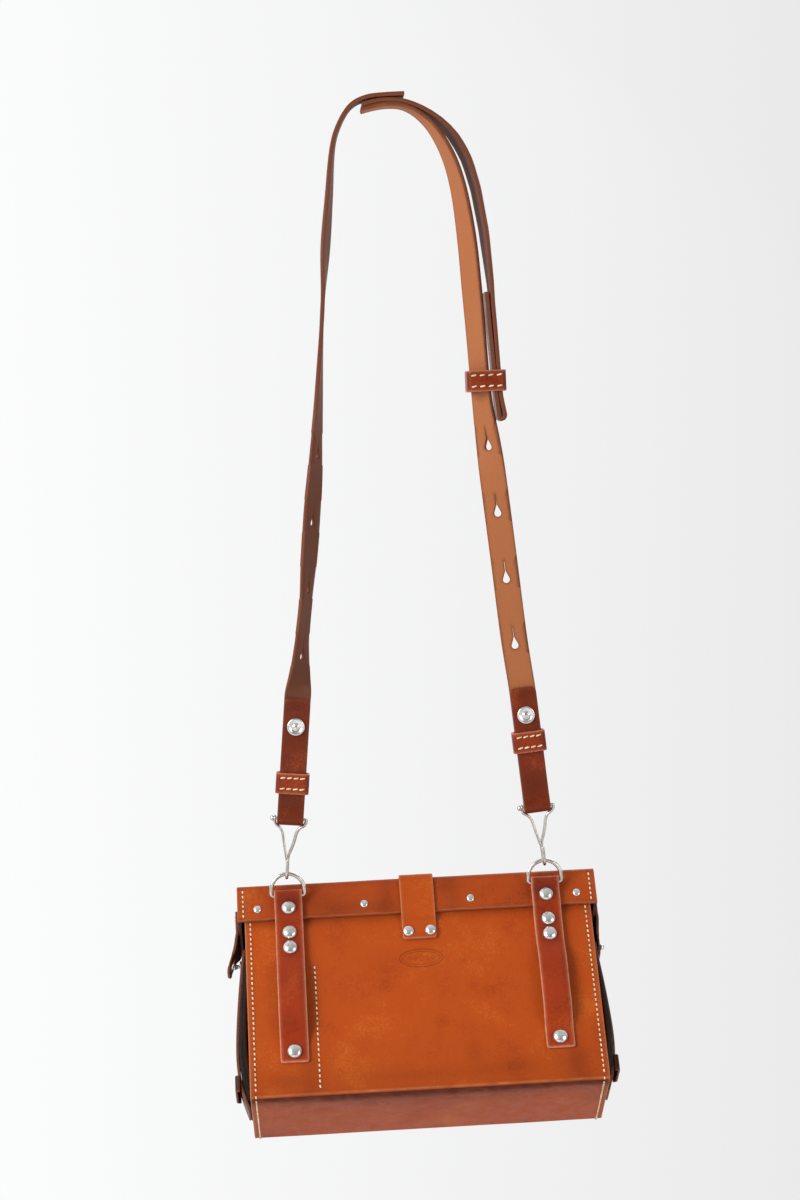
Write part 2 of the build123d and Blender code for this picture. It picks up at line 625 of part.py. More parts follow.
for side, sign in SIDES.items():
    strap_lift = 0.1 + END_STRAP_LEATHER / 2
    with BuildPart() as end_strap:
        with BuildSketch(BACK.offset(-BODY_DEPTH / 2 - END_STRAP_WIDTH / 2)) as profile:
            with BuildLine() as middle:
                ThreePointArc(
                    (sign * (gusset_face(END_STRAP_TOP) + strap_lift), END_STRAP_TOP),
                    (sign * (gusset_face(bulge_middle) + strap_lift), bulge_middle),
                    (sign * (gusset_face(GUSSET_BOTTOM) + strap_lift), GUSSET_BOTTOM),
                )
            trace(middle.line, line_width=END_STRAP_LEATHER)
        extrude(profile.sketch, amount=END_STRAP_WIDTH)
    finish(end_strap, f"end_strap_{side}")

    with BuildPart() as end_keeper:
        foot = gusset_face(END_KEEPER_Z + 6) + 0.1
        under = foot + END_STRAP_LEATHER + 0.6
        with BuildSketch(BAG.offset(END_KEEPER_Z - 6)):
            with Locations((sign * (foot + under + 1.6) / 2, BODY_DEPTH / 2)):
                Rectangle(under + 1.6 - foot, END_STRAP_WIDTH + 4.4)
            with Locations((sign * (foot + under - 1) / 2, BODY_DEPTH / 2)):
                Rectangle(under - foot + 1, END_STRAP_WIDTH + 1, mode=Mode.SUBTRACT)
        extrude(amount=12)
    finish(end_keeper, f"end_keeper_{side}")

    with BuildPart() as ear_stud:
        foot = gusset_face(EAR_HOLE_Z) + END_STRAP_LEATHER + 0.5
        place = bag_point(sign * foot, BODY_DEPTH / 2, EAR_HOLE_Z)
        button_stud(place, Vector(sign, 0, 0), bag_y_dir, 2.6, 1.5, 8.2)
    finish(ear_stud, f"ear_stud_{side}")

# --- closure strap: riveted to the back, over the lid, down the front to a stud --------------
half_closure = CLOSURE_LEATHER / 2
closure_on_body = -half_closure - 0.1
closure_on_flange = -flange_out - half_closure - 0.1
CLOSURE_TAB_END = -48.5
with BuildPart() as closure_strap_back:
    tab_route = [
        (closure_on_body, CLOSURE_TAB_END),
        (closure_on_body, -34.4),
        (closure_on_flange, -29.2),
        (closure_on_flange, -5.0),
    ]
    tab_edge = SIDE.offset(-CLOSURE_WIDTH / 2)
    extrude(sheet_profile(tab_edge, tab_route, CLOSURE_LEATHER, 2.5), amount=CLOSURE_WIDTH)
    for hole_x, hole_z in CLOSURE_RIVETS:
        round_hole(bag_point(hole_x, 0, hole_z), back_dir, RIVET_SHANK, 8)
finish(closure_strap_back, "closure_strap_back")

with BuildPart() as closure_rivets:
    tab_face = closure_on_body - half_closure
    for rivet_x, rivet_z in CLOSURE_RIVETS:
        rivet(bag_point(rivet_x, tab_face, rivet_z), back_dir, 4.3, 2.6, BODY_LEATHER - tab_face)
finish(closure_rivets, "closure_rivets")

tongue_y = skirt_inside + LID_LEATHER + 0.4 + half_closure
with BuildPart() as closure_strap_top:
    with BuildSketch(BAG.offset(0.1)):
        with Locations((0, (lid_back + tongue_y - 1.6) / 2)):
            Rectangle(CLOSURE_WIDTH, tongue_y - 1.6 - lid_back)
    extrude(amount=CLOSURE_LEATHER)
finish(closure_strap_top, "closure_strap_top")

with BuildPart() as closure_tongue:
    with BuildSketch(BACK.offset(-tongue_y - half_closure)) as outline:
        with Locations((0, (TONGUE_END - 0.6) / 2)):
            Rectangle(CLOSURE_WIDTH, -0.6 - TONGUE_END)
        fillet(outline.vertices().sort_by(Axis.Y)[:2], 9)
        with Locations((0, TONGUE_HOLE_Z)):
            SlotOverall(10, 7.6, rotation=90, mode=Mode.SUBTRACT)
    extrude(outline.sketch, amount=CLOSURE_LEATHER)
finish(closure_tongue, "closure_tongue")

with BuildPart() as front_stud:
    stud_place = bag_point(0, BODY_DEPTH + 0.05, TONGUE_HOLE_Z)
    button_stud(stud_place, bag_y_dir, Vector(1, 0, 0), 3.2, 1.8, 11.5)
finish(front_stud, "front_stud")
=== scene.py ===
import json
import math
from collections import Counter

import bpy
import numpy as np
from mathutils import Matrix, Vector, noise


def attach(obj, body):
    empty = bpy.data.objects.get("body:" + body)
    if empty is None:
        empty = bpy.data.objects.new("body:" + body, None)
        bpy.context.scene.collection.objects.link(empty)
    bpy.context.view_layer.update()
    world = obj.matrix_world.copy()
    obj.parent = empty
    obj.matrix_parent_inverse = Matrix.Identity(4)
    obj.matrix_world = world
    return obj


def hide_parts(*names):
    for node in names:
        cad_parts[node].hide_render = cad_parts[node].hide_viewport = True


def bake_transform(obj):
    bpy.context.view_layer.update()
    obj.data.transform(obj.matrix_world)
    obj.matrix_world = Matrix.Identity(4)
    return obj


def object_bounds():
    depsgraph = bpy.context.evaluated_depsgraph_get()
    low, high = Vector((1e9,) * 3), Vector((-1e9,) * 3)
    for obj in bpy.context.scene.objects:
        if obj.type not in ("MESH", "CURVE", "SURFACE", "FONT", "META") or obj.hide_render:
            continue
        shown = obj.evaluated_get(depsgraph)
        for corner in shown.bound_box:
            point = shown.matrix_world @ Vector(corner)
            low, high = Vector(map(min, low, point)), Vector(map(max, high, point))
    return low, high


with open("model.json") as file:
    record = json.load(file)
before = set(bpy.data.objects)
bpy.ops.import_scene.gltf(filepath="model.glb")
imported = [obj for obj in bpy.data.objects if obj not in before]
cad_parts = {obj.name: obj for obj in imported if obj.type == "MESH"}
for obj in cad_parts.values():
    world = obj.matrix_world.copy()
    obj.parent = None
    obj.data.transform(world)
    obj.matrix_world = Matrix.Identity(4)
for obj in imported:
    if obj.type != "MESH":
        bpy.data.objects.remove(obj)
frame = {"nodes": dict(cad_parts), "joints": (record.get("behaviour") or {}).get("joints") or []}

CAD_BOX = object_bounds()
JOINTS = {joint["name"]: joint for joint in frame["joints"]}
MM = 0.001
SIDES = {"left": -1, "right": 1}
Y_WORLD = np.array((0.0, 1.0, 0.0))

# --- the bag's own frame: x to the right, y back to front, z up the back, millimetres
BELT_X = 93.0
RING_BAR = (-7.15, -12.0)
X_DIR = np.array((1.0, 0.0, 0.0))
Y_DIR = np.array(JOINTS["ear_left_lift"]["axis"])
Z_DIR = np.array((0.0, -Y_DIR[2], Y_DIR[1]))
LEFT_BAR = np.array(JOINTS["case_swing"]["pos_m"]) / MM
ORIGIN = LEFT_BAR + X_DIR * BELT_X - Y_DIR * RING_BAR[0] - Z_DIR * RING_BAR[1]


def bag(x, y, z):
    """World points in millimetres from bag x, y, z, which may be arrays."""
    x, y, z = np.broadcast_arrays(*(np.asarray(v, float) for v in (x, y, z)))
    return ORIGIN + x[..., None] * X_DIR + y[..., None] * Y_DIR + z[..., None] * Z_DIR


def bag_dir(x, y, z):
    """World directions from bag x, y, z."""
    x, y, z = np.broadcast_arrays(*(np.asarray(v, float) for v in (x, y, z)))
    return x[..., None] * X_DIR + y[..., None] * Y_DIR + z[..., None] * Z_DIR


def metres(point):
    return tuple(float(v) * MM for v in point)


def cosd(degrees):
    return math.cos(math.radians(degrees))


def sind(degrees):
    return math.sin(math.radians(degrees))


def unit(rows):
    """Rows of vectors, each brought to length 1."""
    return rows / np.linalg.norm(rows, axis=-1, keepdims=True)


def ring(middle, side, other, radius, count):
    """Points round a circle, from its middle and two directions."""
    angles = [2 * math.pi * k / count for k in range(count)]
    return [middle + (side * math.cos(a) + other * math.sin(a)) * radius for a in angles]


def ring_faces(base, rings, count):
    """Faces of a closed solid made of rings of points that follow each other."""
    faces = []
    for low in range(base, base + (rings - 1) * count, count):
        for k in range(count):
            j = (k + 1) % count
            faces.append((low + k, low + j, low + count + j, low + count + k))
    first = [base + k for k in range(count)]
    return faces + [tuple(reversed(first)), tuple(k + (rings - 1) * count for k in first)]


# --- flat cuts: nets of faces in (u, s), u across the leather and s along it
EDGE_STEPS = (0.0, 0.1, 0.3, 0.65, 1.2)


def spaced(low, high, step, edges=(True, True)):
    """Values from low to high, crowded next to the cut edges for their rounding."""
    left = [low + e for e in EDGE_STEPS] if edges[0] else [low]
    right = [high - e for e in reversed(EDGE_STEPS)] if edges[1] else [high]
    count = max(1, int(round((right[0] - left[-1]) / step)))
    inner = [left[-1] + (right[0] - left[-1]) * i / count for i in range(1, count)]
    return left + inner + right


class Net:
    def __init__(self):
        self.points = []
        self.index = {}
        self.faces = []

    def point(self, u, s):
        key = (round(u, 3), round(s, 3))
        if key not in self.index:
            self.index[key] = len(self.points)
            self.points.append((u, s))
        return self.index[key]

    def grid(self, us, ss, warp=lambda u, s: (u, s)):
        rows = [[self.point(*warp(u, s)) for u in us] for s in ss]
        for low, high in zip(rows, rows[1:]):
            for i in range(len(us) - 1):
                self.faces.append((low[i], low[i + 1], high[i + 1], high[i]))
        return self

    def hole(self, us, ss, centre, outline, warp=lambda u, s: (u, s)):
        """Fills the rectangle round a hole whose outline gives its radius at an angle."""
        rim = [(u, ss[0]) for u in us[:-1]] + [(us[-1], s) for s in ss[:-1]]
        rim += [(u, ss[-1]) for u in us[:0:-1]] + [(us[0], s) for s in ss[:0:-1]]
        rings = []
        for share in (0.0, 0.02, 0.06, 0.13, 0.3, 0.6, 1.0):
            ring = []
            for u, s in rim:
                angle = math.atan2(s - centre[1], u - centre[0])
                radius = outline(angle)
                near_u = centre[0] + radius * math.cos(angle)
                near_s = centre[1] + radius * math.sin(angle)
                ring.append(self.point(*warp(near_u + (u - near_u) * share, near_s + (s - near_s) * share)))
            rings.append(ring)
        for near, far in zip(rings, rings[1:]):
            for i in range(len(rim)):
                j = (i + 1) % len(rim)
                self.faces.append((near[i], far[i], far[j], near[j]))
        return self


def rounded(u_range, s_range, radius, corners):
    """Warp that rounds the chosen corners of a rectangle: names made of l or r and b or t."""

    def warp(u, s):
        for name in corners:
            side = -1 if "l" in name else 1
            end = -1 if "b" in name else 1
            edge_u = u_range[0] if side < 0 else u_range[1]
            edge_s = s_range[0] if end < 0 else s_range[1]
            p = radius - abs(edge_u - u)
            q = radius - abs(edge_s - s)
            if p > 0 and q > 0:
                share = max(p, q) / math.hypot(p, q)
                return (edge_u - side * (radius - p * share), edge_s - end * (radius - q * share))
        return (u, s)

    return warp


def strip(half_width, length, across, along, radius=0.0, corners=()):
    """Net of a plain strip, with some of its corners rounded."""
    return Net().grid(spaced(-half_width, half_width, across), spaced(0, length, along),
                      rounded((-half_width, half_width), (0, length), radius, corners))


def long_slot(half_u, half_s):
    """Outline of a slot or button hole that is longer one way."""
    return lambda angle: 1.0 / math.sqrt((math.cos(angle) / half_u) ** 2 + (math.sin(angle) / half_s) ** 2)


# --- routes: the middle of a sheet's section, or of a whole strap
class Route:
    """Points, outward normals and across directions along a route, in world millimetres."""

    def __init__(self, points, normals, across):
        self.points = np.array(points, float)
        self.normals = np.array(normals, float)
        self.across = np.array(across, float)
        steps = np.linalg.norm(np.diff(self.points, axis=0), axis=1)
        self.s = np.concatenate(([0.0], np.cumsum(steps)))
        self.length = float(self.s[-1])

    def _at(self, table, s):
        return np.stack([np.interp(s, self.s, table[:, k]) for k in range(3)], axis=-1)

    def place(self, u, s):
        across = unit(self._at(self.across, s))
        return self._at(self.points, s) + across * np.asarray(u)[..., None], unit(self._at(self.normals, s))


def heading(start, end):
    return (end - start) / np.linalg.norm(end - start)


def filleted(points, radius):
    """Dense (a, b) points and left normals of a polyline with rounded corners."""
    points = [np.array(p, float) for p in points]
    radii = radius if isinstance(radius, (list, tuple)) else [radius] * (len(points) - 2)
    out = [points[0]]
    tangents = [heading(points[0], points[1])]
    for before, corner, after, wish in zip(points, points[1:], points[2:], radii):
        t_in, t_out = heading(before, corner), heading(corner, after)
        turn = math.atan2(t_in[0] * t_out[1] - t_in[1] * t_out[0], float(t_in @ t_out))
        if abs(turn) < 1e-4:
            continue
        room = 0.48 * min(np.linalg.norm(corner - before), np.linalg.norm(after - corner))
        reach = min(wish * math.tan(abs(turn) / 2), room)
        r = reach / math.tan(abs(turn) / 2)
        left = np.array((-t_in[1], t_in[0])) * (1 if turn > 0 else -1)
        centre = corner - t_in * reach + left * r
        steps = max(2, int(abs(turn) / math.radians(7)))
        for i in range(steps + 1):
            a = turn * i / steps
            spin = np.array(((math.cos(a), -math.sin(a)), (math.sin(a), math.cos(a))))
            out.append(centre - spin @ left * r)
            tangents.append(spin @ t_in)
    out.append(points[-1])
    tangents.append(heading(points[-2], points[-1]))
    normals = [np.array((-t[1], t[0])) for t in tangents]
    return np.array(out), np.array(normals)


def section_route(points, radius, side=1):
    """Route of a sheet whose section lies in the bag's y, z plane and whose width runs along x."""
    places, normals = filleted(points, radius)
    return Route(
        bag(0, places[:, 0], places[:, 1]),
        bag_dir(0, normals[:, 0], normals[:, 1]) * side,
        np.tile(X_DIR, (len(places), 1)),
    )


# --- sheets: a net laid on a route, given thickness and rounded cut edges
SWAY_SIZE = 38.0        # length of the slow waves in hand-worked leather
WORN_REACH = 0.55       # how far the pale rubbing runs in from a cut edge


def edge_distance(points, segments):
    """Distance of each flat point from the nearest of the cut edges."""
    a = segments[:, 0]
    ab = segments[:, 1] - a
    size = np.maximum((ab * ab).sum(1), 1e-12)
    out = np.empty(len(points))
    for start in range(0, len(points), 2000):
        p = points[start : start + 2000, None, :] - a[None]
        t = np.clip((p * ab).sum(2) / size, 0, 1)
        out[start : start + 2000] = np.linalg.norm(p - t[..., None] * ab, axis=2).min(1)
    return out


def smooth_noise(points, size, seed):
    """Soft noise from -1 to 1 over world points in millimetres, with features of that size."""
    shift = Vector((seed * 17.3, seed * 5.1, seed * 9.7))
    return np.array([noise.noise(Vector(p) / size + shift) for p in points])


def make_object(name, vertices, faces, materials, attributes=None, face_materials=None):
    mesh = bpy.data.meshes.new(name)
    mesh.from_pydata([metres(v) for v in vertices], [], faces)
    mesh.update()
    mesh.polygons.foreach_set("use_smooth", [True] * len(mesh.polygons))
    if face_materials is not None:
        mesh.polygons.foreach_set("material_index", face_materials)
    for material in materials:
        mesh.materials.append(material)
    rest = mesh.attributes.new("rest", "FLOAT_VECTOR", "POINT")
    rest.data.foreach_set("vector", (np.asarray(vertices, np.float32)).ravel())
    for key, values in (attributes or {}).items():
        layer = mesh.attributes.new(key, "FLOAT", "POINT")
        layer.data.foreach_set("value", np.asarray(values, np.float32))
    obj = bpy.data.objects.new(name, mesh)
    bpy.context.scene.collection.objects.link(obj)
    return obj


def sheet(name, net, place, thickness, material, bevel=0.6, stain_and_shade=None, wear=None, sway=0.0,
          plain_cut=None, seed=1):
    """A piece of leather: grain on its outer side, flesh inside, worn rounded cut edges."""
    flat = np.array(net.points)
    count = len(flat)
    borders = [(i, j) for f in net.faces for i, j in zip(f, f[1:] + f[:1])]
    uses = Counter(frozenset(border) for border in borders)
    rim = [border for border in borders if uses[frozenset(border)] == 1]
    cut = [(i, j) for i, j in rim if plain_cut is None or not plain_cut(*((flat[i] + flat[j]) / 2))]
    away = edge_distance(flat, np.array([(flat[i], flat[j]) for i, j in cut]))
    centre, normal = place(flat[:, 0], flat[:, 1])
    if sway:
        centre = centre + normal * (sway * smooth_noise(centre, SWAY_SIZE, seed))[:, None]
    close = np.clip(bevel - away, 0, bevel)
    half = thickness / 2 - (bevel - np.sqrt(np.maximum(bevel**2 - close**2, 0)))
    vertices = np.concatenate((centre + normal * half[:, None], centre - normal * half[:, None]))
    first = net.faces[0]
    corner = vertices[list(first)]
    facing = np.cross(corner[1] - corner[0], corner[2] - corner[0])
    flip = float(facing @ normal[first[0]]) < 0
    top = [tuple(reversed(f)) if flip else f for f in net.faces]
    bottom = [tuple(v + count for v in reversed(f)) for f in top]
    sides = [(i, j, j + count, i + count) if flip else (j, i, i + count, j + count) for i, j in rim]
    worn = np.exp(-np.maximum(away - 0.25, 0) / WORN_REACH)
    if wear:
        worn = np.clip(worn + wear(flat[:, 0], flat[:, 1]), 0, 1)
    # the map holds real stains and painted shade alike
    dirt_and_shade = stain_and_shade(flat[:, 0], flat[:, 1]) if stain_and_shade else np.zeros(count)
    return make_object(
        name,
        vertices,
        top + bottom + sides,
        [material],
        {
            "edge": np.concatenate((worn, worn)),
            "flesh": np.concatenate((np.zeros(count), np.ones(count))),
            "stain_and_shade": np.concatenate((dirt_and_shade, dirt_and_shade)),
        },
    )


# --- turned pieces: rivets, studs
TURNED_SIDES, DENT_SIZE = 28, 2.2


def turned(name, places, profile, body, node, dent=0.0):
    """Solids of revolution from (radius, height) profiles at (point, axis) places, one mesh."""
    vertices, faces = [], []
    for number, (origin, axis) in enumerate(places):
        axis = np.array(axis) / np.linalg.norm(axis)
        side = np.cross(axis, (0.31, 0.2, 0.93))
        side /= np.linalg.norm(side)
        other = np.cross(axis, side)
        faces += ring_faces(len(vertices), len(profile), TURNED_SIDES)
        for radius, height in profile:
            for p in ring(np.array(origin) + axis * height, side, other, radius, TURNED_SIDES):
                if dent and height > 0:
                    p = p + axis * dent * noise.noise(Vector(p) / DENT_SIZE + Vector((number * 3.1, 0, 0)))
                vertices.append(p)
    obj = make_object(name, vertices, faces, [NICKEL])
    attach(obj, body)
    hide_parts(node)


def dome(radius, height, rim=0.55):
    """Profile of a struck rivet cap: short rounded rim, then a flattened dome."""
    out = [(radius - 0.15, 0.0), (radius, rim * 0.35), (radius - 0.12, rim * 0.8)]
    low = rim * 0.7
    out += [((radius - 0.2) * cosd(a) ** 0.85, low + (height - low) * sind(a)) for a in range(10, 90, 8)]
    return out + [(0.25, height)]


# --- stitching
THREAD_STEPS, THREAD_SIDES, HOLE_SIDES = 6, 6, 8


def stitches(name, rows, body, length, radius, slant):
    """Thread stitches. A row is points on the surface, directions along it and normals."""
    vertices, faces, kinds = [], [], []
    for points, along, normals in rows:
        for p, t, n in zip(points, along, normals):
            n = n / np.linalg.norm(n)
            t = t / np.linalg.norm(t)
            w = np.cross(n, t)
            lean = slant + 0.07 * noise.noise(Vector(p) * 0.9)
            t = t * math.cos(lean) + w * math.sin(lean)
            w = np.cross(n, t)
            thread = ring_faces(len(vertices), THREAD_STEPS + 1, THREAD_SIDES)
            for k in range(THREAD_STEPS + 1):
                x = 2 * k / THREAD_STEPS - 1
                thick = radius * math.sqrt(max(0.12, 1 - abs(x) ** 3))
                middle = p + t * (x * length / 2) + n * (radius * (1 - x * x) - 0.22)
                vertices += ring(middle, w, n, thick, THREAD_SIDES)
            faces += thread
            kinds += [0] * len(thread)
            # a flat dark disc at each end of the stitch: painted shade of its hole
            for end in (-1, 1):
                base = len(vertices)
                middle = p + t * (end * (length / 2 + 0.12)) + n * 0.05
                vertices += ring(middle, t * 0.5, w * 0.42, 1.0, HOLE_SIDES) + [middle + n * 0.02]
                faces += [(base + q, base + (q + 1) % HOLE_SIDES, base + HOLE_SIDES)
                          for q in range(HOLE_SIDES)]
                kinds += [1] * HOLE_SIDES
    obj = make_object(name, vertices, faces, [THREAD, AWL_HOLE], face_materials=kinds)
    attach(obj, body)


def even_row(start, end, pitch):
    """Evenly spaced values between two ends at about that pitch."""
    count = max(1, int(round(abs(end - start) / pitch)))
    return np.linspace(start, end, count + 1)


# --- materials
def set_inputs(node, values):
    for key, value in values.items():
        node.inputs[key].default_value = value


def new_material(name):
    material = bpy.data.materials.new(name)
    material.use_nodes = True
    return material, Nodes(material.node_tree), material.node_tree.nodes["Principled BSDF"]


class Nodes:
    """Short names for the few node kinds that the materials use."""

    def __init__(self, tree):
        self.tree = tree

    def new(self, kind, **settings):
        node = self.tree.nodes.new(kind)
        for key, value in settings.items():
            setattr(node, key, value)
        return node

    def link(self, a, b):
        self.tree.links.new(a, b)

    def attribute(self, name, output="Fac"):
        return self.new("ShaderNodeAttribute", attribute_name=name).outputs[output]

    def noise(self, vector, scale, detail=3.0, rough=0.55, distort=0.0):
        node = self.new("ShaderNodeTexNoise")
        set_inputs(node, {"Scale": scale, "Detail": detail, "Roughness": rough, "Distortion": distort})
        self.link(vector, node.inputs["Vector"])
        return node.outputs["Fac"]

    def feed(self, socket, value):
        """A number or a colour goes on the socket itself, another node's output is linked."""
        if isinstance(value, tuple):
            socket.default_value = (*value, 1.0)
        elif isinstance(value, (int, float)):
            socket.default_value = value
        elif value is not None:
            self.link(value, socket)

    def math(self, operation, a, b=None, clamp=False):
        node = self.new("ShaderNodeMath", operation=operation, use_clamp=clamp)
        self.feed(node.inputs[0], a)
        self.feed(node.inputs[1], b)
        return node.outputs[0]

    def add(self, a, b):
        return self.math("ADD", a, b)

    def times(self, a, b, clamp=False):
        return self.math("MULTIPLY", a, b, clamp)

    def span(self, value, low, high, to_low=0.0, to_high=1.0):
        node = self.new("ShaderNodeMapRange", clamp=True)
        set_inputs(node, {"From Min": low, "From Max": high, "To Min": to_low, "To Max": to_high})
        self.link(value, node.inputs["Value"])
        return node.outputs[0]

    def mix(self, factor, a, b):
        node = self.new("ShaderNodeMix", data_type="RGBA")
        for socket, value in zip((0, 6, 7), (factor, a, b)):
            self.feed(node.inputs[socket], value)
        return node.outputs[2]

    def ramp(self, value, stops):
        node = self.new("ShaderNodeValToRGB")
        ramp = node.color_ramp
        while len(ramp.elements) < len(stops):
            ramp.elements.new(0.5)
        for element, (position, colour) in zip(ramp.elements, stops):
            element.position = position
            element.color = (*colour, 1.0)
        self.link(value, node.inputs[0])
        return node.outputs[0]

    def voronoi(self, vector, scale, feature="F1"):
        node = self.new("ShaderNodeTexVoronoi", feature=feature)
        node.inputs["Scale"].default_value = scale
        self.link(vector, node.inputs["Vector"])
        return node.outputs["Distance"]

    def bump(self, height, strength, distance, shader):
        node = self.new("ShaderNodeBump")
        set_inputs(node, {"Strength": strength, "Distance": distance})
        self.link(height, node.inputs["Height"])
        self.link(node.outputs[0], shader.inputs["Normal"])


def leather(name, dark, mid, light, edge, flesh, rough=0.48, specular=0.16, coat=0.04, scuff=0.5):
    material, n, shader = new_material(name)
    rest = n.attribute("rest", "Vector")
    cloud = n.noise(rest, 0.022, 3.0, 0.55, 0.4)
    mottle = n.noise(rest, 0.11, 5.0, 0.62, 0.6)
    fine = n.noise(rest, 0.65, 5.0, 0.65)
    tone = n.add(n.times(cloud, 0.52), n.times(mottle, 0.16))
    tone = n.add(tone, n.times(fine, 0.32))
    colour = n.ramp(tone, [(0.32, dark), (0.47, mid), (0.53, mid), (0.66, light)])
    # scuffs: fine pale scratches that come and go, and small dark marks
    lines = n.noise(rest, 0.05, 2.0, 0.4, 3.2)
    thin = n.span(n.math("ABSOLUTE", n.math("SUBTRACT", lines, 0.52)), 0.0, 0.0035, 1.0, 0.0)
    patch = n.span(n.noise(rest, 0.045, 2.0, 0.5), 0.52, 0.60)
    scratch = n.times(n.times(thin, patch), scuff)
    colour = n.mix(scratch, colour, light)
    spots = n.span(n.voronoi(rest, 0.075), 0.05, 0.11, 1.0, 0.0)
    spots = n.times(spots, n.span(mottle, 0.5, 0.62))
    colour = n.mix(n.times(spots, 0.08), colour, dark)
    flecks = n.span(n.voronoi(rest, 0.16), 0.03, 0.07, 1.0, 0.0)
    flecks = n.times(flecks, n.span(n.noise(rest, 0.07), 0.55, 0.6))
    colour = n.mix(n.times(flecks, 0.5 * scuff), colour, edge)
    # stains and painted shade from the map darken the colour towards the dark tone
    stain_and_shade = n.times(n.attribute("stain_and_shade"), n.span(mottle, 0.3, 0.7, 0.8, 1.1), clamp=True)
    colour = n.mix(stain_and_shade, colour, tuple(c * 0.30 for c in dark))
    raw = n.mix(n.noise(rest, 1.4, 3.0), tuple(c * 0.72 for c in flesh), flesh)
    colour = n.mix(n.attribute("flesh"), colour, raw)
    worn = n.times(n.attribute("edge"), n.span(n.noise(rest, 0.25, 4.0), 0.3, 0.62, 0.68, 1.0))
    colour = n.mix(n.times(worn, 0.85), colour, edge)
    n.link(colour, shader.inputs["Base Color"])
    shine = n.span(mottle, 0.3, 0.7, rough - 0.08, rough + 0.12)
    shine = n.math("MAXIMUM", shine, n.times(n.attribute("flesh"), 0.85))
    shine = n.math("MAXIMUM", shine, n.times(stain_and_shade, 0.9))
    n.link(shine, shader.inputs["Roughness"])
    set_inputs(shader, {"Specular IOR Level": specular, "Coat Weight": coat, "Coat Roughness": 0.28})
    grain = n.times(n.voronoi(rest, 1.15), 0.55)
    grain = n.add(grain, n.times(n.noise(rest, 2.6, 3.0), 0.45))
    grain = n.add(grain, n.times(mottle, 1.6))
    grain = n.math("SUBTRACT", grain, n.times(scratch, 0.8))
    n.bump(grain, 0.55, 0.00016, shader)
    return material


def metal(name, colour, rough, coordinates="rest"):
    material, n, shader = new_material(name)
    if coordinates == "rest":
        place = n.attribute("rest", "Vector")
        scale = 1.0
    else:
        place = n.new("ShaderNodeTexCoord").outputs["Object"]
        scale = 1.0 / MM
    wear = n.noise(place, 0.35 * scale, 4.0, 0.6)
    scratch = n.noise(place, 1.7 * scale, 4.0, 0.7, 1.5)
    dull = tuple(c * 0.78 for c in colour)
    n.link(n.ramp(wear, [(0.36, dull), (0.55, colour)]), shader.inputs["Base Color"])
    shader.inputs["Metallic"].default_value = 1.0
    n.link(n.span(scratch, 0.3, 0.7, rough - 0.07, rough + 0.14), shader.inputs["Roughness"])
    n.bump(scratch, 0.15, 0.00005, shader)
    return material


def thread_material():
    material, n, shader = new_material("waxed_thread")
    rest = n.attribute("rest", "Vector")
    n.link(n.mix(n.span(n.noise(rest, 0.2, 3.0), 0.35, 0.65), (0.88, 0.74, 0.52), (0.66, 0.44, 0.24)),
           shader.inputs["Base Color"])
    shader.inputs["Roughness"].default_value = 0.65
    n.bump(n.noise(rest, 4.0, 2.0), 0.5, 0.0001, shader)
    return material


def hole_material():
    # flat dark discs at both ends of each stitch: painted shade of the holes the thread sinks into
    material, n, shader = new_material("awl_hole_painted_shade")
    rest = n.attribute("rest", "Vector")
    n.link(n.mix(n.noise(rest, 0.6), (0.05, 0.008, 0.003), (0.12, 0.02, 0.006)), shader.inputs["Base Color"])
    shader.inputs["Roughness"].default_value = 0.9
    return material


CASE = leather("case_leather", (0.29, 0.036, 0.002), (0.41, 0.061, 0.003), (0.50, 0.108, 0.010),
               (0.52, 0.19, 0.085), (0.40, 0.18, 0.09))
FLANGE = leather("lid_leather", (0.22, 0.026, 0.002), (0.36, 0.052, 0.004), (0.47, 0.098, 0.010),
                 (0.40, 0.115, 0.045), (0.40, 0.18, 0.09))
BELT = leather("belt_leather", (0.12, 0.010, 0.002), (0.31, 0.031, 0.003), (0.44, 0.064, 0.008),
               (0.66, 0.29, 0.18), (0.36, 0.15, 0.07), rough=0.42, coat=0.08)
# near-black: the gussets' dark leather is darkened to stand for the deep shade between the body panel and the
# end straps, painted shade
GUSSET = leather("gusset_leather_black", (0.004, 0.002, 0.0015), (0.008, 0.003, 0.002), (0.016, 0.005, 0.003),
                 (0.05, 0.018, 0.010), (0.08, 0.03, 0.015), rough=0.7, specular=0.04, coat=0.0, scuff=0.2)
DARK = leather("lid_end_leather", (0.008, 0.003, 0.002), (0.018, 0.006, 0.003), (0.04, 0.010, 0.005),
               (0.11, 0.032, 0.016), (0.10, 0.04, 0.02), rough=0.55, specular=0.10, coat=0.0, scuff=0.2)
EAR = leather("ear_leather", (0.022, 0.005, 0.003), (0.050, 0.011, 0.005), (0.10, 0.024, 0.010),
              (0.22, 0.075, 0.038), (0.15, 0.055, 0.028), rough=0.42)
STRAP = leather("strap_leather", (0.055, 0.007, 0.002), (0.16, 0.020, 0.003), (0.33, 0.052, 0.008),
                (0.13, 0.036, 0.016), (0.42, 0.145, 0.055), rough=0.40, coat=0.10)
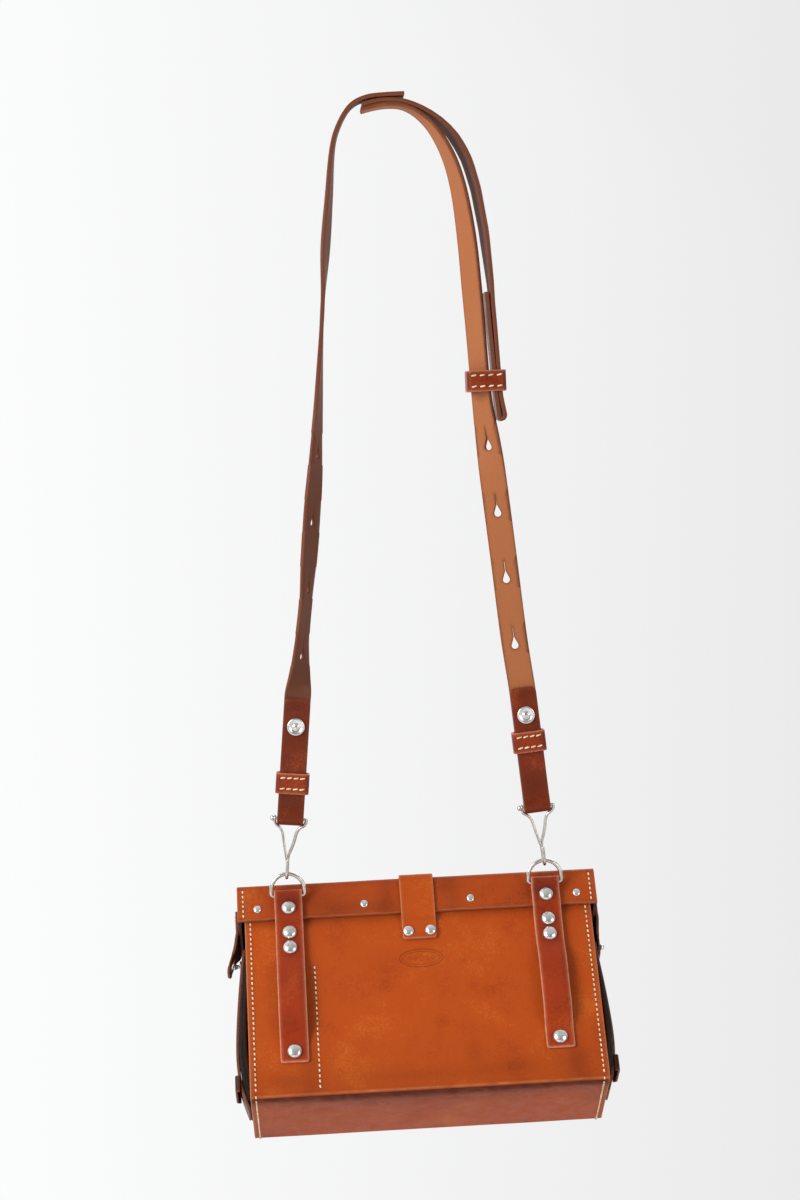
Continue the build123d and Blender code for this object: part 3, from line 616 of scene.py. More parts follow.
# A shaded copy of the strap leather with a much darker flesh side: painted shade. It is used for the left leg
# with its end piece and for the spare end.
SHADED = leather("strap_leather_painted_shade", (0.050, 0.007, 0.002), (0.14, 0.020, 0.005), (0.27, 0.048, 0.012),
                 (0.15, 0.046, 0.022), (0.165, 0.055, 0.030), rough=0.38, coat=0.12)
KEEPER = leather("keeper_leather", (0.10, 0.010, 0.002), (0.23, 0.027, 0.004), (0.37, 0.060, 0.011),
                 (0.50, 0.20, 0.12), (0.35, 0.14, 0.07), rough=0.38, coat=0.12)
NICKEL = metal("nickel", (0.80, 0.80, 0.79), 0.20)
HOOK_METAL = metal("hook_nickel", (0.60, 0.57, 0.53), 0.17)
WIRE = metal("nickel_wire", (0.68, 0.65, 0.61), 0.18, "object")
THREAD = thread_material()
AWL_HOLE = hole_material()


def finish_piece(obj, body, slot, *nodes):
    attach(obj, body)
    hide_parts(*nodes)
    return obj


def blobs(spots):
    """Map of stains and painted shade from (u, s, reach u, reach s, amount) spots."""

    def stain_and_shade(u, s):
        total = np.zeros_like(u)
        for cu, cs, ru, rs, amount in spots:
            total = total + amount * np.exp(-(((u - cu) / ru) ** 2) - ((s - cs) / rs) ** 2)
        return np.clip(total, 0, 1)

    return stain_and_shade


# --- body panel
WIDTH, HEIGHT, DEPTH, LEATHER = 250.0, 161.0, 82.0, 3.0
RIM_Z = -4.0
half = LEATHER / 2
panel_route = section_route(
    [(half, RIM_Z), (half, half - HEIGHT), (DEPTH - half, half - HEIGHT), (DEPTH - half, RIM_Z)], 3.6, -1
)
BACK_LENGTH = HEIGHT + RIM_Z - 2.4      # along the back down to the middle of the fold


# Stains and painted shade on the body panel. The dark band just below the bottom fold, the darkening just
# above that fold and the even darkening of the whole bottom are painted shade. The strip just under the lid's
# flange is patina and painted shade. The strips just right of the two belt straps are their painted shadows.
# The far fold, the side ends and the lower back are simply darker, and the spots are stains.
def panel_stain_and_shade(u, s):
    fold_at = BACK_LENGTH + 3.0
    below = s - fold_at
    reach = 6.0 + 7.0 * np.exp(-(((u + 10) / 95.0) ** 4))
    # painted shade: a dark band below the bottom fold fading over the bottom, an even darkening of the whole
    # bottom, and a darkening just above the fold
    bottom = 1.0 * np.exp(-np.maximum(below - 1.0, 0) / reach) + 0.16
    crease_shade = np.where(below > -1.6, bottom, 0.14 * np.exp(below / 6.0))
    crease_shade = np.where(s > BACK_LENGTH + DEPTH, 0.12, crease_shade)
    far = 0.35 * np.exp(-(((s - BACK_LENGTH - DEPTH) / 5.0) ** 2))
    low = 0.14 * np.clip((s - BACK_LENGTH + 40) / 40, 0, 1) * (below < 0)
    # patina and painted shade just under the lid's flange
    under_lid_patina_and_shade = 0.40 * np.exp(-(((s - 24) / 5.0) ** 2))
    ends = 0.30 * np.exp(-((125 - np.abs(u)) / 3.0))
    # painted shadows of the belt straps, falling just to their right
    belt_strap_shadows = sum(0.22 * np.exp(-(((u - x) / 8.0) ** 2)) for x in (-82.0, 104.0)) * (below < 0)
    spots = blobs([(32, 132, 6, 10, 0.22), (60, 143, 14, 6, 0.2), (-20, 60, 30, 6, 0.06),
                   (100, 140, 12, 9, 0.2), (30, 62, 3, 3, 0.2), (96, 60, 4, 4, 0.16),
                   (-100, 146, 14, 6, 0.22), (0, 146, 60, 5, 0.16)])
    return np.clip(crease_shade + far + low + under_lid_patina_and_shade + ends + belt_strap_shadows + spots(u, s), 0, 1)


def panel_wear(u, s):
    """The bottom folds are rubbed pale in a thin broken line."""
    broken = np.array([0.62 + 0.8 * noise.noise(Vector((x * 0.11, 4.1, 0))) for x in u])
    line = np.exp(-(((s - BACK_LENGTH - 0.2) / 0.55) ** 2))
    line = line + 0.7 * np.exp(-(((s - BACK_LENGTH - DEPTH + LEATHER) / 0.6) ** 2))
    return 0.95 * np.clip(broken, 0.2, 1) * line


panel_rows = spaced(0, panel_route.length, 1.8)
for fold_s in (BACK_LENGTH, BACK_LENGTH + DEPTH - LEATHER):
    panel_rows = [s for s in panel_rows if abs(s - fold_s) > 5.0]
    panel_rows += [fold_s + 0.4 * k for k in range(-11, 12)]
panel_net = Net().grid(spaced(-WIDTH / 2, WIDTH / 2, 2.0), sorted(panel_rows))
panel = sheet("body_panel_leather", panel_net, panel_route.place, LEATHER, CASE, stain_and_shade=panel_stain_and_shade,
              wear=panel_wear, sway=0.18)
finish_piece(panel, "case", "case_leather", "body_panel")

# --- gussets
GUSSET_LOW, GUSSET_SHOULDER, GUSSET_TOP = 3.5 - HEIGHT, -30.0, -6.0
BULGE, LOW_BULGE, GUSSET_THICK, TURNED_IN = 5.0, 3.6, 2.4, 4.6
bulge_half = (GUSSET_SHOULDER - GUSSET_LOW) / 2
bulge_middle = (GUSSET_SHOULDER + GUSSET_LOW) / 2
bulge_radius = (bulge_half**2 + BULGE**2) / (2 * BULGE)


def gusset_face(z):
    """How far out the middle of the gusset stands at a height."""
    z = np.asarray(z, float)
    inside = np.maximum(bulge_radius**2 - (z - bulge_middle) ** 2, 0)
    curve = WIDTH / 2 + BULGE - bulge_radius + np.sqrt(inside)
    curve = curve + LOW_BULGE * np.sin(np.clip((GUSSET_SHOULDER - z) / 128.0, 0, 1) ** 2.6 * math.pi)
    return np.where(z > GUSSET_SHOULDER, WIDTH / 2, np.maximum(curve, WIDTH / 2))


def gusset_place(sign):
    def out(y, z):
        across = np.abs((y - DEPTH / 2) / (DEPTH / 2 - 3.2))
        down = np.clip((z - GUSSET_LOW) / 9.0, 0, 1)
        turned_in = across**4 + (1 - down) ** 2.2
        return gusset_face(z) - GUSSET_THICK / 2 - TURNED_IN * np.clip(turned_in, 0, 1.0)

    def place(u, s):
        y, z = DEPTH / 2 + u, -s
        d = 0.2
        slope_y = (out(y + d, z) - out(y - d, z)) / (2 * d)
        slope_z = (out(y, z + d) - out(y, z - d)) / (2 * d)
        return bag(sign * out(y, z), y, z), unit(bag_dir(sign, -slope_y, -slope_z))

    return place


reach = DEPTH / 2 - 3.4
gusset_net = Net().grid(spaced(-reach, reach, 2.0), spaced(-GUSSET_TOP, -GUSSET_LOW, 2.2),
                        rounded((-reach, reach), (-GUSSET_TOP, -GUSSET_LOW), 3.0, ("lt", "rt")))
for side, sign in SIDES.items():
    gusset = sheet(f"gusset_{side}_leather", gusset_net, gusset_place(sign), GUSSET_THICK, GUSSET,
                   sway=0.3, seed=4 + sign)
    finish_piece(gusset, "case", "case_leather", f"gusset_{side}")

# --- partition
PARTITION_X, PARTITION_FOOT_X, PARTITION_Z, PARTITION_HALF, PARTITION_THICK = -82, -70, -108.0, 46.0, 2.4
SEWN_Y = (4.3, DEPTH - 4.3)
places, normals = filleted([(PARTITION_FOOT_X, SEWN_Y[0]), (PARTITION_X, SEWN_Y[0]),
                            (PARTITION_X, SEWN_Y[1]), (PARTITION_FOOT_X, SEWN_Y[1])], 3)
partition_route = Route(bag(places[:, 0], places[:, 1], PARTITION_Z),
                        bag_dir(normals[:, 0], normals[:, 1], 0), np.tile(Z_DIR, (len(places), 1)))
net = strip(PARTITION_HALF, partition_route.length, 4.0, 2.0)
partition = sheet("partition_leather", net, partition_route.place, PARTITION_THICK, CASE)
finish_piece(partition, "case", "case_leather", "partition")

# --- lid
LID_WIDTH, SKIRT, LID_THICK = 260.0, 28.0, 3.0
SKIRT_Y = DEPTH + 0.6 + LID_THICK / 2
FLANGE_Y = -1.6
lid_points = [(FLANGE_Y, -SKIRT), (FLANGE_Y, -1.5), (SKIRT_Y, -1.5), (SKIRT_Y, -SKIRT)]
lid_route = section_route(lid_points, [1.7, 3.0])


def lid_stain(u, s):
    hem = 0.35 * np.exp(-((s / 2.0) ** 2)) + 0.3 * np.exp(-(((s - 27) / 3.0) ** 2))
    ends = 0.3 * np.exp(-((130 - np.abs(u)) / 2.5))
    spots = blobs([(-75, 14, 30, 16, 0.30), (88, 14, 22, 9, 0.3), (-40, 6, 30, 5, 0.25),
                   (20, 20, 10, 6, 0.25), (-22, 10, 7, 20, 0.3), (24, 10, 9, 20, 0.25)])
    return np.clip(hem + ends + spots(u, s), 0, 1)


def ragged(u, s):
    """Slight unevenness of the hand-cut lower edge of the flange."""
    if s < 1.3:
        return u, s + 0.35 * noise.noise(Vector((u * 0.11, 0, 0))) * (1 - s / 1.3)
    return u, s


net = Net().grid(spaced(-LID_WIDTH / 2, LID_WIDTH / 2, 1.9), spaced(0, lid_route.length, 1.5), ragged)
lid = sheet("lid_leather", net, lid_route.place, LID_THICK - 0.1, FLANGE, stain_and_shade=lid_stain, sway=0.15, seed=2)
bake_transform(lid)
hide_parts("back_flange", "lid_cover")

END_LEATHER = 2.7
END_Y, END_S = (0.8, SKIRT_Y - 1.7), (3.1, SKIRT)
for side, sign in SIDES.items():
    end_x = sign * (LID_WIDTH - END_LEATHER) / 2

    def end_place(u, s, end_x=end_x, sign=sign):
        return bag(end_x, u, -s), bag_dir(np.full_like(u, sign), 0, 0)

    net = Net().grid(spaced(*END_Y, 2.0), spaced(*END_S, 1.6), rounded(END_Y, END_S, 2.2, ("rb",)))
    end = sheet(f"lid_end_{side}_leather", net, end_place, END_LEATHER, DARK)
    finish_piece(end, "lid", "case_leather", f"lid_end_{side}")

# --- closure strap
CLOSURE_WIDTH, CLOSURE_THICK = 24.5, 2.4
TAB_END, TONGUE_END, TONGUE_HOLE = -48.5, -72.0, -60.0
ON_BODY, ON_FLANGE, ON_LID = -1.35, -4.4, 1.3
TONGUE_Y = DEPTH + 0.6 + LID_THICK + 0.4 + CLOSURE_THICK / 2
JOIN_Y = 42.0
tab_points = [(ON_BODY, TAB_END), (ON_BODY, -34.6), (ON_FLANGE, -29.4), (ON_FLANGE, ON_LID), (JOIN_Y, ON_LID)]
tab_route = section_route(tab_points, [2.5, 2.5, 4.2])
half_width = CLOSURE_WIDTH / 2
closure_stain = blobs([(0, 0, 14, 3, 0.35), (-12, 30, 3, 40, 0.15), (0, 47, 16, 3, 0.15)])
net = Net().grid(spaced(-half_width, half_width, 1.4), spaced(0, tab_route.length, 1.4, (True, False)),
                 rounded((-half_width, half_width), (0, tab_route.length), 2.0, ("lb", "rb")))
tab = sheet("closure_strap_rear", net, tab_route.place, CLOSURE_THICK, CASE, stain_and_shade=closure_stain,
            plain_cut=lambda u, s: s > tab_route.length - 0.01)
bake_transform(tab)
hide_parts("closure_strap_back")

tongue_route = section_route([(JOIN_Y, ON_LID), (TONGUE_Y, ON_LID), (TONGUE_Y, TONGUE_END)], 4.2)

hole_s = tongue_route.length - (TONGUE_HOLE - TONGUE_END)
us = spaced(-half_width, half_width, 1.4)
block = (hole_s - 8.5, hole_s + 8.5)
net = Net()
net.grid(us, spaced(0, block[0], 1.4, (False, False)))
rows = [block[0] + (block[1] - block[0]) * i / 14 for i in range(15)]
net.hole(us, rows, (0.0, hole_s), long_slot(3.7, 4.9))
tip_s = tongue_route.length
end_ss = spaced(block[1], tip_s, 0.8, (False, True))


def tongue_tip(u, s):
    """Pulls the strap in to a rounded tip."""
    left = (s - block[1]) / (tip_s - block[1])
    return u * (1 - 0.5 * left**2.4), s


net.grid(us, end_ss, tongue_tip)
tongue = sheet("closure_strap_front", net, tongue_route.place, CLOSURE_THICK, CASE,
               plain_cut=lambda u, s: s < 0.01)
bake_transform(tongue)
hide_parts("closure_strap_top", "closure_tongue")

# --- belt straps
BELT_WIDTH, BELT_THICK, BELT_END = 20.0, 2.2, -137.0
half_belt = BELT_THICK / 2
over_flange = -LID_THICK - half_belt
doubled = over_flange - BELT_THICK - 0.1
on_body = -half_belt - 0.1
doubled_on_body = on_body - BELT_THICK - 0.1
fold = over_flange - RING_BAR[0]
BOWED = -7.3
arc = [(RING_BAR[0] + fold * cosd(a), RING_BAR[1] + fold * sind(a))
       for a in range(0, 181, 12)]
belt_points = [(on_body, -57.5), (on_body, -33.6), (over_flange, -29.0)] + arc
belt_points += [(RING_BAR[0] - fold, RING_BAR[1] - 1.2), (doubled, RING_BAR[1] - 5.2), (doubled, -29.8),
                (doubled_on_body, -34.4), (doubled_on_body, -58.5), (BOWED, -70.0), (BOWED, -108.0),
                (on_body, -121.5), (on_body, BELT_END)]
belt_radii = [2, 2] + [1.5] * len(arc) + [2.0, 2.0, 2.0, 8.0, 12.0, 12.0, 8.0, 8.0]
belt_route = section_route(belt_points, belt_radii, -1)
RIVET_FACES = {-21.5: doubled, -39.5: doubled_on_body, -51.5: doubled_on_body, -129.0: on_body}
for side, sign in SIDES.items():
    length = belt_route.length

    def belt_place(u, s, sign=sign):
        points, normal = belt_route.place(u, s)
        return points + X_DIR * sign * BELT_X, normal

    rivet_s = [length - (z - BELT_END) for z in (-129.0, -51.5, -39.5)]
    # the long spot along the right edge (u = 9) is painted shade
    stain_and_shade = blobs([(0, s, 7.5, 7.5, 0.45) for s in rivet_s]
                  + [(0, length - 122, 14, 10, 0.6), (9, length - 50, 3, 40, 0.3),
                     (0, length - 60, 20, 14, 0.2), (sign * 3, length - 30, 8, 8, 0.2)])
    net = strip(BELT_WIDTH / 2, length, 1.3, 1.1, 1.8, ("lt", "rt"))
    belt = sheet(f"belt_strap_{side}_leather", net, belt_place, BELT_THICK, BELT, stain_and_shade=stain_and_shade, sway=0.12,
                 seed=7 + sign)
    finish_piece(belt, "case", "dark_leather", f"belt_strap_{side}")

# --- rivets and studs
SHANK = 1.5


def with_tail(profile, grip, tail=3.4):
    """Adds the shank through the leather and the washer behind it."""
    washer = [(0.3, -grip - 1.0), (tail, -grip - 1.0), (tail, -grip - 0.1)]
    return washer + [(SHANK, -grip), (SHANK, 0.0)] + profile


out_back = -Y_DIR
big = [(bag(sign * BELT_X, face - half_belt - 0.05, z), out_back)
       for z, face in RIVET_FACES.items() for sign in SIDES.values()]
small = [(bag(x, -LID_THICK - 0.1, -19.5), out_back) for x in (-115.5, -38.5, 38.5, 115.5)]
mids = [(bag(x, ON_BODY - CLOSURE_THICK / 2 - 0.05, -42.7), out_back) for x in (-8.0, 8.0)]
for name, places, profile, node, dent in (
    ("belt_rivet_caps", big, [(SHANK, -9.0), (SHANK, 0.0)] + dome(5.4, 3.0), "belt_rivets", 0.09),
    ("flange_rivet_caps", small, with_tail(dome(3.0, 1.2, 0.3), 6.0, 2.6), "flange_rivets", 0.05),
    ("closure_rivet_caps", mids, with_tail(dome(4.3, 2.3, 0.45), 5.7), "closure_rivets", 0.07),
):
    turned(name, places, profile, "case", node, dent)


def ball_stud(head, neck, height, foot):
    """Profile of a button stud: foot disc, waisted neck and a round head."""
    out = [(foot - 0.3, 0.0), (foot, 0.3), (foot - 0.25, 0.9), (neck + 0.3, 1.0), (neck, 1.6)]
    ball = height - head
    return out + [(max(0.15, head * cosd(a)), ball + head * sind(a)) for a in range(-50, 91, 14)]


turned("front_stud_turned", [(bag(0, DEPTH + 0.05, TONGUE_HOLE), Y_DIR)], ball_stud(3.2, 1.8, 11.5, 5.0),
       "case", "front_stud")
EAR_STUD_Z = -44.0
for side, sign in SIDES.items():
    foot = float(gusset_face(EAR_STUD_Z)) + 2.7
    turned(f"ear_stud_{side}_turned", [(bag(sign * foot, DEPTH / 2, EAR_STUD_Z), sign * X_DIR)],
           ball_stud(2.3, 1.4, 7.2, 4.1), "case", f"ear_stud_{side}")

# --- shoulder strap
STRAP_WIDTH, STRAP_THICK, STRAP_GAP = 19.0, 3.0, 0.2
LAYER = (STRAP_THICK + STRAP_GAP) / 2
RING_RISE, BAR_RISE, END_TOP, STUD_RISE = 16.0, 40.0, 127.0, 107.0
LEAN = {"left": 6.2, "right": 4.8}
KEEPER_RISE = {"left": 66.0, "right": 87.5}
HOLE_RISES = (157.5, 205.5, 253.5, 301.5)
BAR_FOLD = 1.2 + 0.6 + STRAP_THICK / 2
ROUTES = {
    "left": [
        (-81.2, -400.0, 40), (-78.2, -375.0, 62), (-74.0, -345.0, 66), (-70.6, -318.0, 58),
        (-66.5, -283.0, 55), (-62.4, -248.0, 64), (-58.4, -205.0, 78), (-52.6, -140.0, 90),
        (-48.2, -97.0, 76), (-44.2, -61.0, 80), (-40.2, -28.0, 86), (-35.0, -11.5, 88),
        (-26.3, 1.5, 90), (-15.0, 6.9, 90), (-2.0, 8.1, 90), (12.0, 8.3, 90),
    ],
    "right": [
        (73.9, -378.0, 2), (69.0, -322.0, 5), (64.2, -268.0, 14), (61.5, -240.0, 32),
        (58.8, -215.0, 50), (57.5, -195.0, 54), (55.8, -160.0, 53), (54.3, -128.0, 52),
        (52.3, -95.0, 55), (49.3, -67.0, 62), (44.8, -45.0, 68), (38.5, -28.0, 74),
        (30.5, -14.5, 80), (21.0, -5.2, 86), (11.0, 0.1, 90), (1.0, 1.5, 90),
        (-9.0, 0.7, 90), (-19.0, -1.4, 90),
    ],
}


def leg_frame(side):
    """Base point at the top of the D-ring, direction across the leg and direction up it."""
    lean = math.radians(LEAN[side])
    up = np.array((-SIDES[side] * math.sin(lean), 0.0, math.cos(lean)))
    base = LEFT_BAR + X_DIR * (0.0 if side == "left" else 2 * BELT_X) + np.array((0.0, 0.0, RING_RISE))
    return base, np.array((up[2], 0.0, -up[0])), up


def smooth_through(values, per_run=9):
    """Catmull-Rom values through rows of numbers."""
    rows = [2 * values[0] - values[1]] + list(values) + [2 * values[-1] - values[-2]]
    out = []
    for a, b, c, d in zip(rows, rows[1:], rows[2:], rows[3:]):
        for i in range(per_run):
            t = i / per_run
            out.append(0.5 * (2 * b + (c - a) * t + (2 * a - 5 * b + 4 * c - d) * t**2
                              + (3 * b - a - 3 * c + d) * t**3))
    return np.array(out + [values[-1]])


def leg_route(side):
    """End piece down, round the hook's bar, up behind it and on to the top."""
    base, across, up = leg_frame(side)
    turn_down = [(-LAYER, END_TOP), (-LAYER, BAR_RISE + 9), (-BAR_FOLD, BAR_RISE + 1.5)]
    arc = [(BAR_FOLD * cosd(a), BAR_RISE + BAR_FOLD * sind(a))
           for a in range(180, 361, 12)]
    turn_up = [(BAR_FOLD, BAR_RISE + 1.5), (LAYER, BAR_RISE + 9), (LAYER, END_TOP)]
    flat, _ = filleted(turn_down + arc + turn_up, 3.0)
    low = [base + np.array((0.0, y, 0.0)) + up * rise for y, rise in flat]
    start = low[-1]
    rows = [np.array((start[0], start[1], start[2], 0.0))]
    for step, (x, z, turn) in enumerate(ROUTES[side]):
        rows.append(np.array((x, LAYER / 2 if step == 0 else 0.0, z, turn)))
    high = smooth_through(rows)
    points = low + [row[:3] for row in high[1:]]
    turns = [0.0] * len(low) + [math.radians(row[3]) for row in high[1:]]
    tangents = unit(np.gradient(np.array(points), axis=0))
    sides, normals = [], []
    for index, (tangent, turn) in enumerate(zip(tangents, turns)):
        if index < len(low) - 1:
            wide = across
        else:
            run = np.array((tangent[0], 0.0, tangent[2]))
            run /= np.linalg.norm(run)
            wide = np.array((run[2], 0.0, -run[0])) * math.cos(turn)
            wide = wide + np.array((0.0, -SIDES[side] * math.sin(turn), 0.0))
        normal = np.cross(tangent, wide)
        sides.append(wide)
        normals.append(normal / np.linalg.norm(normal))
    route = Route(points, normals, sides)
    return route, float(route.s[len(low) - 1])


HOLE_RADIUS, HOLE_POINT, SLIT_TOP = 2.5, 6.6, 13.0


def teardrop(angle):
    """Radius of a strap hole: round below, drawn to a point above that ends in a slit."""
    off = abs(math.atan2(math.sin(angle - math.pi / 2), math.cos(angle - math.pi / 2)))
    lean = math.acos(HOLE_RADIUS / HOLE_POINT)
    drop = HOLE_RADIUS / math.cos(lean - off) if off < lean else HOLE_RADIUS
    return SLIT_TOP if off < 0.012 else drop


HOLE_BLOCK = (-7.0, 17.0)
half_us = [0.14, 0.45, 1.0, 1.9, 3.2, 4.8, 6.6, 8.3, 8.85, 9.2, 9.4, STRAP_WIDTH / 2]
hole_us = [-u for u in reversed(half_us)] + [0.0] + half_us
for side, sign in SIDES.items():
    route, leg_start_s = leg_route(side)
    net = Net()
    hole_places = [leg_start_s + rise - END_TOP for rise in HOLE_RISES]
    warp = rounded((-STRAP_WIDTH / 2, STRAP_WIDTH / 2), (0, 400), 4.0, ("lb", "rb"))
    at = 0.0
    for place_s in hole_places:
        first = place_s + HOLE_BLOCK[0]
        net.grid(hole_us, spaced(at, first, 1.6, (at == 0.0, False)), warp)
        at = place_s + HOLE_BLOCK[1]
        rows = [first + (at - first) * i / 15 for i in range(16)]
        net.hole(hole_us, rows, (0.0, place_s), teardrop)
    net.grid(hole_us, spaced(at, route.length, 1.6, (False, True)), warp)
    stain_and_shade = blobs([(0, 20, 8, 8, 0.25), (0, 5, 12, 4, 0.3), (0, 70, 14, 12, 0.3)]
                  + [(0, leg_start_s + 6, 12, 10, 0.15)]
                  + [(0, s + 3, 5, 9, 0.22) for s in hole_places]
                  + [(0, leg_start_s + s, 30, 22, 0.12) for s in (150, 260, 340)])
    # the left leg takes the shaded copy of the strap leather: painted shade
    leg = sheet(f"strap_leg_{side}", net, route.place, STRAP_THICK, STRAP if side == "right" else SHADED,
                stain_and_shade=stain_and_shade, sway=0.25, seed=11 + sign)
    finish_piece(leg, "strap", "strap_leather", f"strap_{side}")

EXTENSION = [
    (-18.0, 2.0), (-9.0, 4.2), (1.0, 4.8), (12.0, 3.6), (24.0, -1.8), (36.0, -10.0), (46.0, -21.5),
    (54.5, -38.0), (60.2, -60.0), (64.3, -88.0), (67.5, -125.0), (69.2, -160.0), (70.6, -192.0),
    (71.2, -206.0), (74.0, -221.5), (69.6, -223.5), (67.9, -206.0), (67.3, -192.0), (65.4, -160.0),
    (64.0, -131.0),
]
places, normals = filleted(EXTENSION, 60)
steps = np.linalg.norm(np.diff(places, axis=0), axis=1)
fine_s = np.arange(0, steps.sum(), 1.5)
table_s = np.concatenate(([0.0], np.cumsum(steps)))
fine = np.stack([np.interp(fine_s, table_s, places[:, k]) for k in (0, 1)], axis=1)
twists = np.radians(np.interp(fine_s, [30, 75, 150, 195], [0, 13, 9, 0], left=0, right=0))
wides = np.stack([-np.sin(twists), np.cos(twists), np.zeros_like(twists)], axis=1)
points = np.stack([fine[:, 0], np.zeros(len(fine)), fine[:, 1]], axis=1)
tangents = np.gradient(points, axis=0)
extension_route = Route(points, unit(np.cross(tangents, wides)), wides)
net = strip(STRAP_WIDTH / 2, extension_route.length, 1.6, 1.5, 2.0, ("lt", "rt"))
extension = sheet("strap_spare_end", net, extension_route.place, STRAP_THICK, SHADED, sway=0.2, seed=15,
                  stain_and_shade=blobs([(0, 60, 20, 60, 0.35), (0, 150, 20, 40, 0.3)]))
finish_piece(extension, "strap", "strap_leather", "strap_extension")

# --- keepers
KEEPER_WALL, KEEPER_HEIGHT, PLAY = 2.0, 15.0, 0.5


def keeper(name, centre, across, up, room_wide, room_deep, stitched, corner=2.2):
    """A loop of leather round the strap, sewn with two rows on the face that shows."""
    wide = room_wide / 2 + KEEPER_WALL / 2
    deep = room_deep / 2 + KEEPER_WALL / 2
    corners = [(0.02, deep), (wide, deep), (wide, -deep), (-wide, -deep), (-wide, deep), (-0.02, deep)]
    places, normals = filleted(corners, corner)
    back = np.array((0.0, 1.0, 0.0))
    points = [centre + across * x + back * y for x, y in places]
    outward = [across * x + back * y for x, y in normals]
    route = Route(points, outward, np.tile(up, (len(points), 1)))
    net = strip(KEEPER_HEIGHT / 2, route.length, 1.2, 1.0)
    stain_and_shade = blobs([(0, route.length / 2 - wide, 9, 2.5, 0.4), (0, route.length / 2 + wide, 9, 2.5, 0.4)])
    obj = sheet(f"{name}_loop", net, route.place, KEEPER_WALL, KEEPER, bevel=0.5, stain_and_shade=stain_and_shade, seed=21)
    finish_piece(obj, name, "strap_leather", name)
    face = -back
    rows = []
    for height in stitched:
        xs = even_row(-wide + 4.0, wide - 4.0, (2 * wide - 8.0) / 3)
        surface = [centre + across * x + up * height + face * (deep + KEEPER_WALL / 2) for x in xs]
        rows.append((surface, [across] * len(xs), [face] * len(xs)))
    stitches(f"{name}_loop_stitches", rows, name, 4.2, 0.62, 0.2)


room = STRAP_WIDTH + 2 * PLAY
room_deep = 2 * LAYER + STRAP_THICK + 2 * PLAY
for side, sign in SIDES.items():
    base, across, up = leg_frame(side)
    keeper(f"keeper_{side}", base + up * KEEPER_RISE[side], across, up, room, room_deep, (-3.6, 4.2))
MIDDLE_X, MIDDLE_Z = (49.2, 73.4), -195.0
keeper("keeper_middle", np.array((sum(MIDDLE_X) / 2, 0.0, MIDDLE_Z)), X_DIR, np.array((0.0, 0.0, 1.0)),
       MIDDLE_X[1] - MIDDLE_X[0], room, (-3.8, 4.0), corner=3.2)

# --- snap hooks: bent wire with a sprung gate of thinner wire
CAP = ((0.25, 0.9), (0.7, 0.65), (0.93, 0.3))      # shares of the wire's radius: how wide, how far out


def tube(vertices, faces, points, radii, sides):
    """Adds a round wire along dense points, with softly closed ends."""
    points = np.array(points, float)
    tangents = unit(np.gradient(points, axis=0))
    side = np.cross(tangents[0], (0.3, 0.9, 0.2))
    rings = []
    for index, (point, tangent) in enumerate(zip(points, tangents)):
        side = side - tangent * (side @ tangent)
        side /= np.linalg.norm(side)
        rings.append((point, tangent, side, np.cross(tangent, side), radii[index]))
    first, last = rings[0], rings[-1]
    cap_in = [(first[0] - first[1] * first[4] * b, *first[1:4], first[4] * a) for a, b in CAP]
    cap_out = [(last[0] + last[1] * last[4] * b, *last[1:4], last[4] * a) for a, b in reversed(CAP)]
    rings = cap_in + rings + cap_out
    faces += ring_faces(len(vertices), len(rings), sides)
    for point, tangent, side, other, radius in rings:
        vertices += ring(point, side, other, radius, sides)


HOOK_RADIUS, HOOK_CURL = 1.2, 4.4
CURL_CENTRE = HOOK_CURL - HOOK_RADIUS - 1.45 - 0.15
ARM = [(11.3, 0.0, 40.0), (11.5, 0.0, 38.0), (10.2, 0.3, 35.6), (7.0, 0.8, 33.2), (5.0, 1.4, 29.5),
       (3.9, 2.4, 24.0), (2.2, 3.7, 18.0), (0.5, 4.3, 13.5), (0.0, 4.4, 9.5), (0.0, 4.4, 5.0)]
CURL = [(0.0, HOOK_CURL * cosd(a), CURL_CENTRE - HOOK_CURL * sind(a))
        for a in range(0, 181, 30)]
TIP = [(0.0, -HOOK_CURL, 5.0), (0.0, -HOOK_CURL, 10.0)]
BAR = [(-12.4 + 23.6 * i / 6, 0.0, BAR_RISE) for i in range(7)]
BAR_HEAD = [(x, 0.0, BAR_RISE) for x in (-12.9, -12.5, -12.1)]
EYE_RADIUS = 1.95
EYE = [(-11.0, EYE_RADIUS * cosd(a), BAR_RISE + EYE_RADIUS * sind(a)) for a in range(-80, 261, 20)]
GATE = [(-11.1, 0.0, 38.0), (-10.3, 0.2, 35.8), (-7.0, 0.2, 33.2), (-5.0, 0.0, 29.5), (-3.9, -0.3, 24.0),
        (-2.4, -1.0, 17.0), (-1.2, -1.7, 12.0), (-0.6, -2.0, 9.4)]
for side in SIDES:
    base, across, up = leg_frame(side)

    def leg_points(rows):
        return [base + across * x + Y_WORLD * y + up * rise for x, y, rise in rows]

    def eased(rows):
        return smooth_through([np.array(row) for row in rows], 6)

    arm, gate = eased(ARM + CURL + TIP), eased(GATE)
    parts = {
        "snap_hook": [(BAR, [HOOK_RADIUS] * len(BAR), 14), (BAR_HEAD, [1.9, 2.0, 1.9], 16),
                      (arm, [HOOK_RADIUS] * len(arm), 14)],
        "hook_gate": [(gate, np.linspace(1.05, 0.88, len(gate)), 12), (EYE, [0.6] * len(EYE), 10)],
    }
    for part, body in (("snap_hook", "hook"), ("hook_gate", "gate")):
        vertices, faces = [], []
        for rows, radii, sides in parts[part]:
            tube(vertices, faces, leg_points(rows), radii, sides)
        wire = make_object(f"{part}_{side}_wire", vertices, faces, [HOOK_METAL])
        finish_piece(wire, f"{body}_{side}", "nickel", f"{part}_{side}")

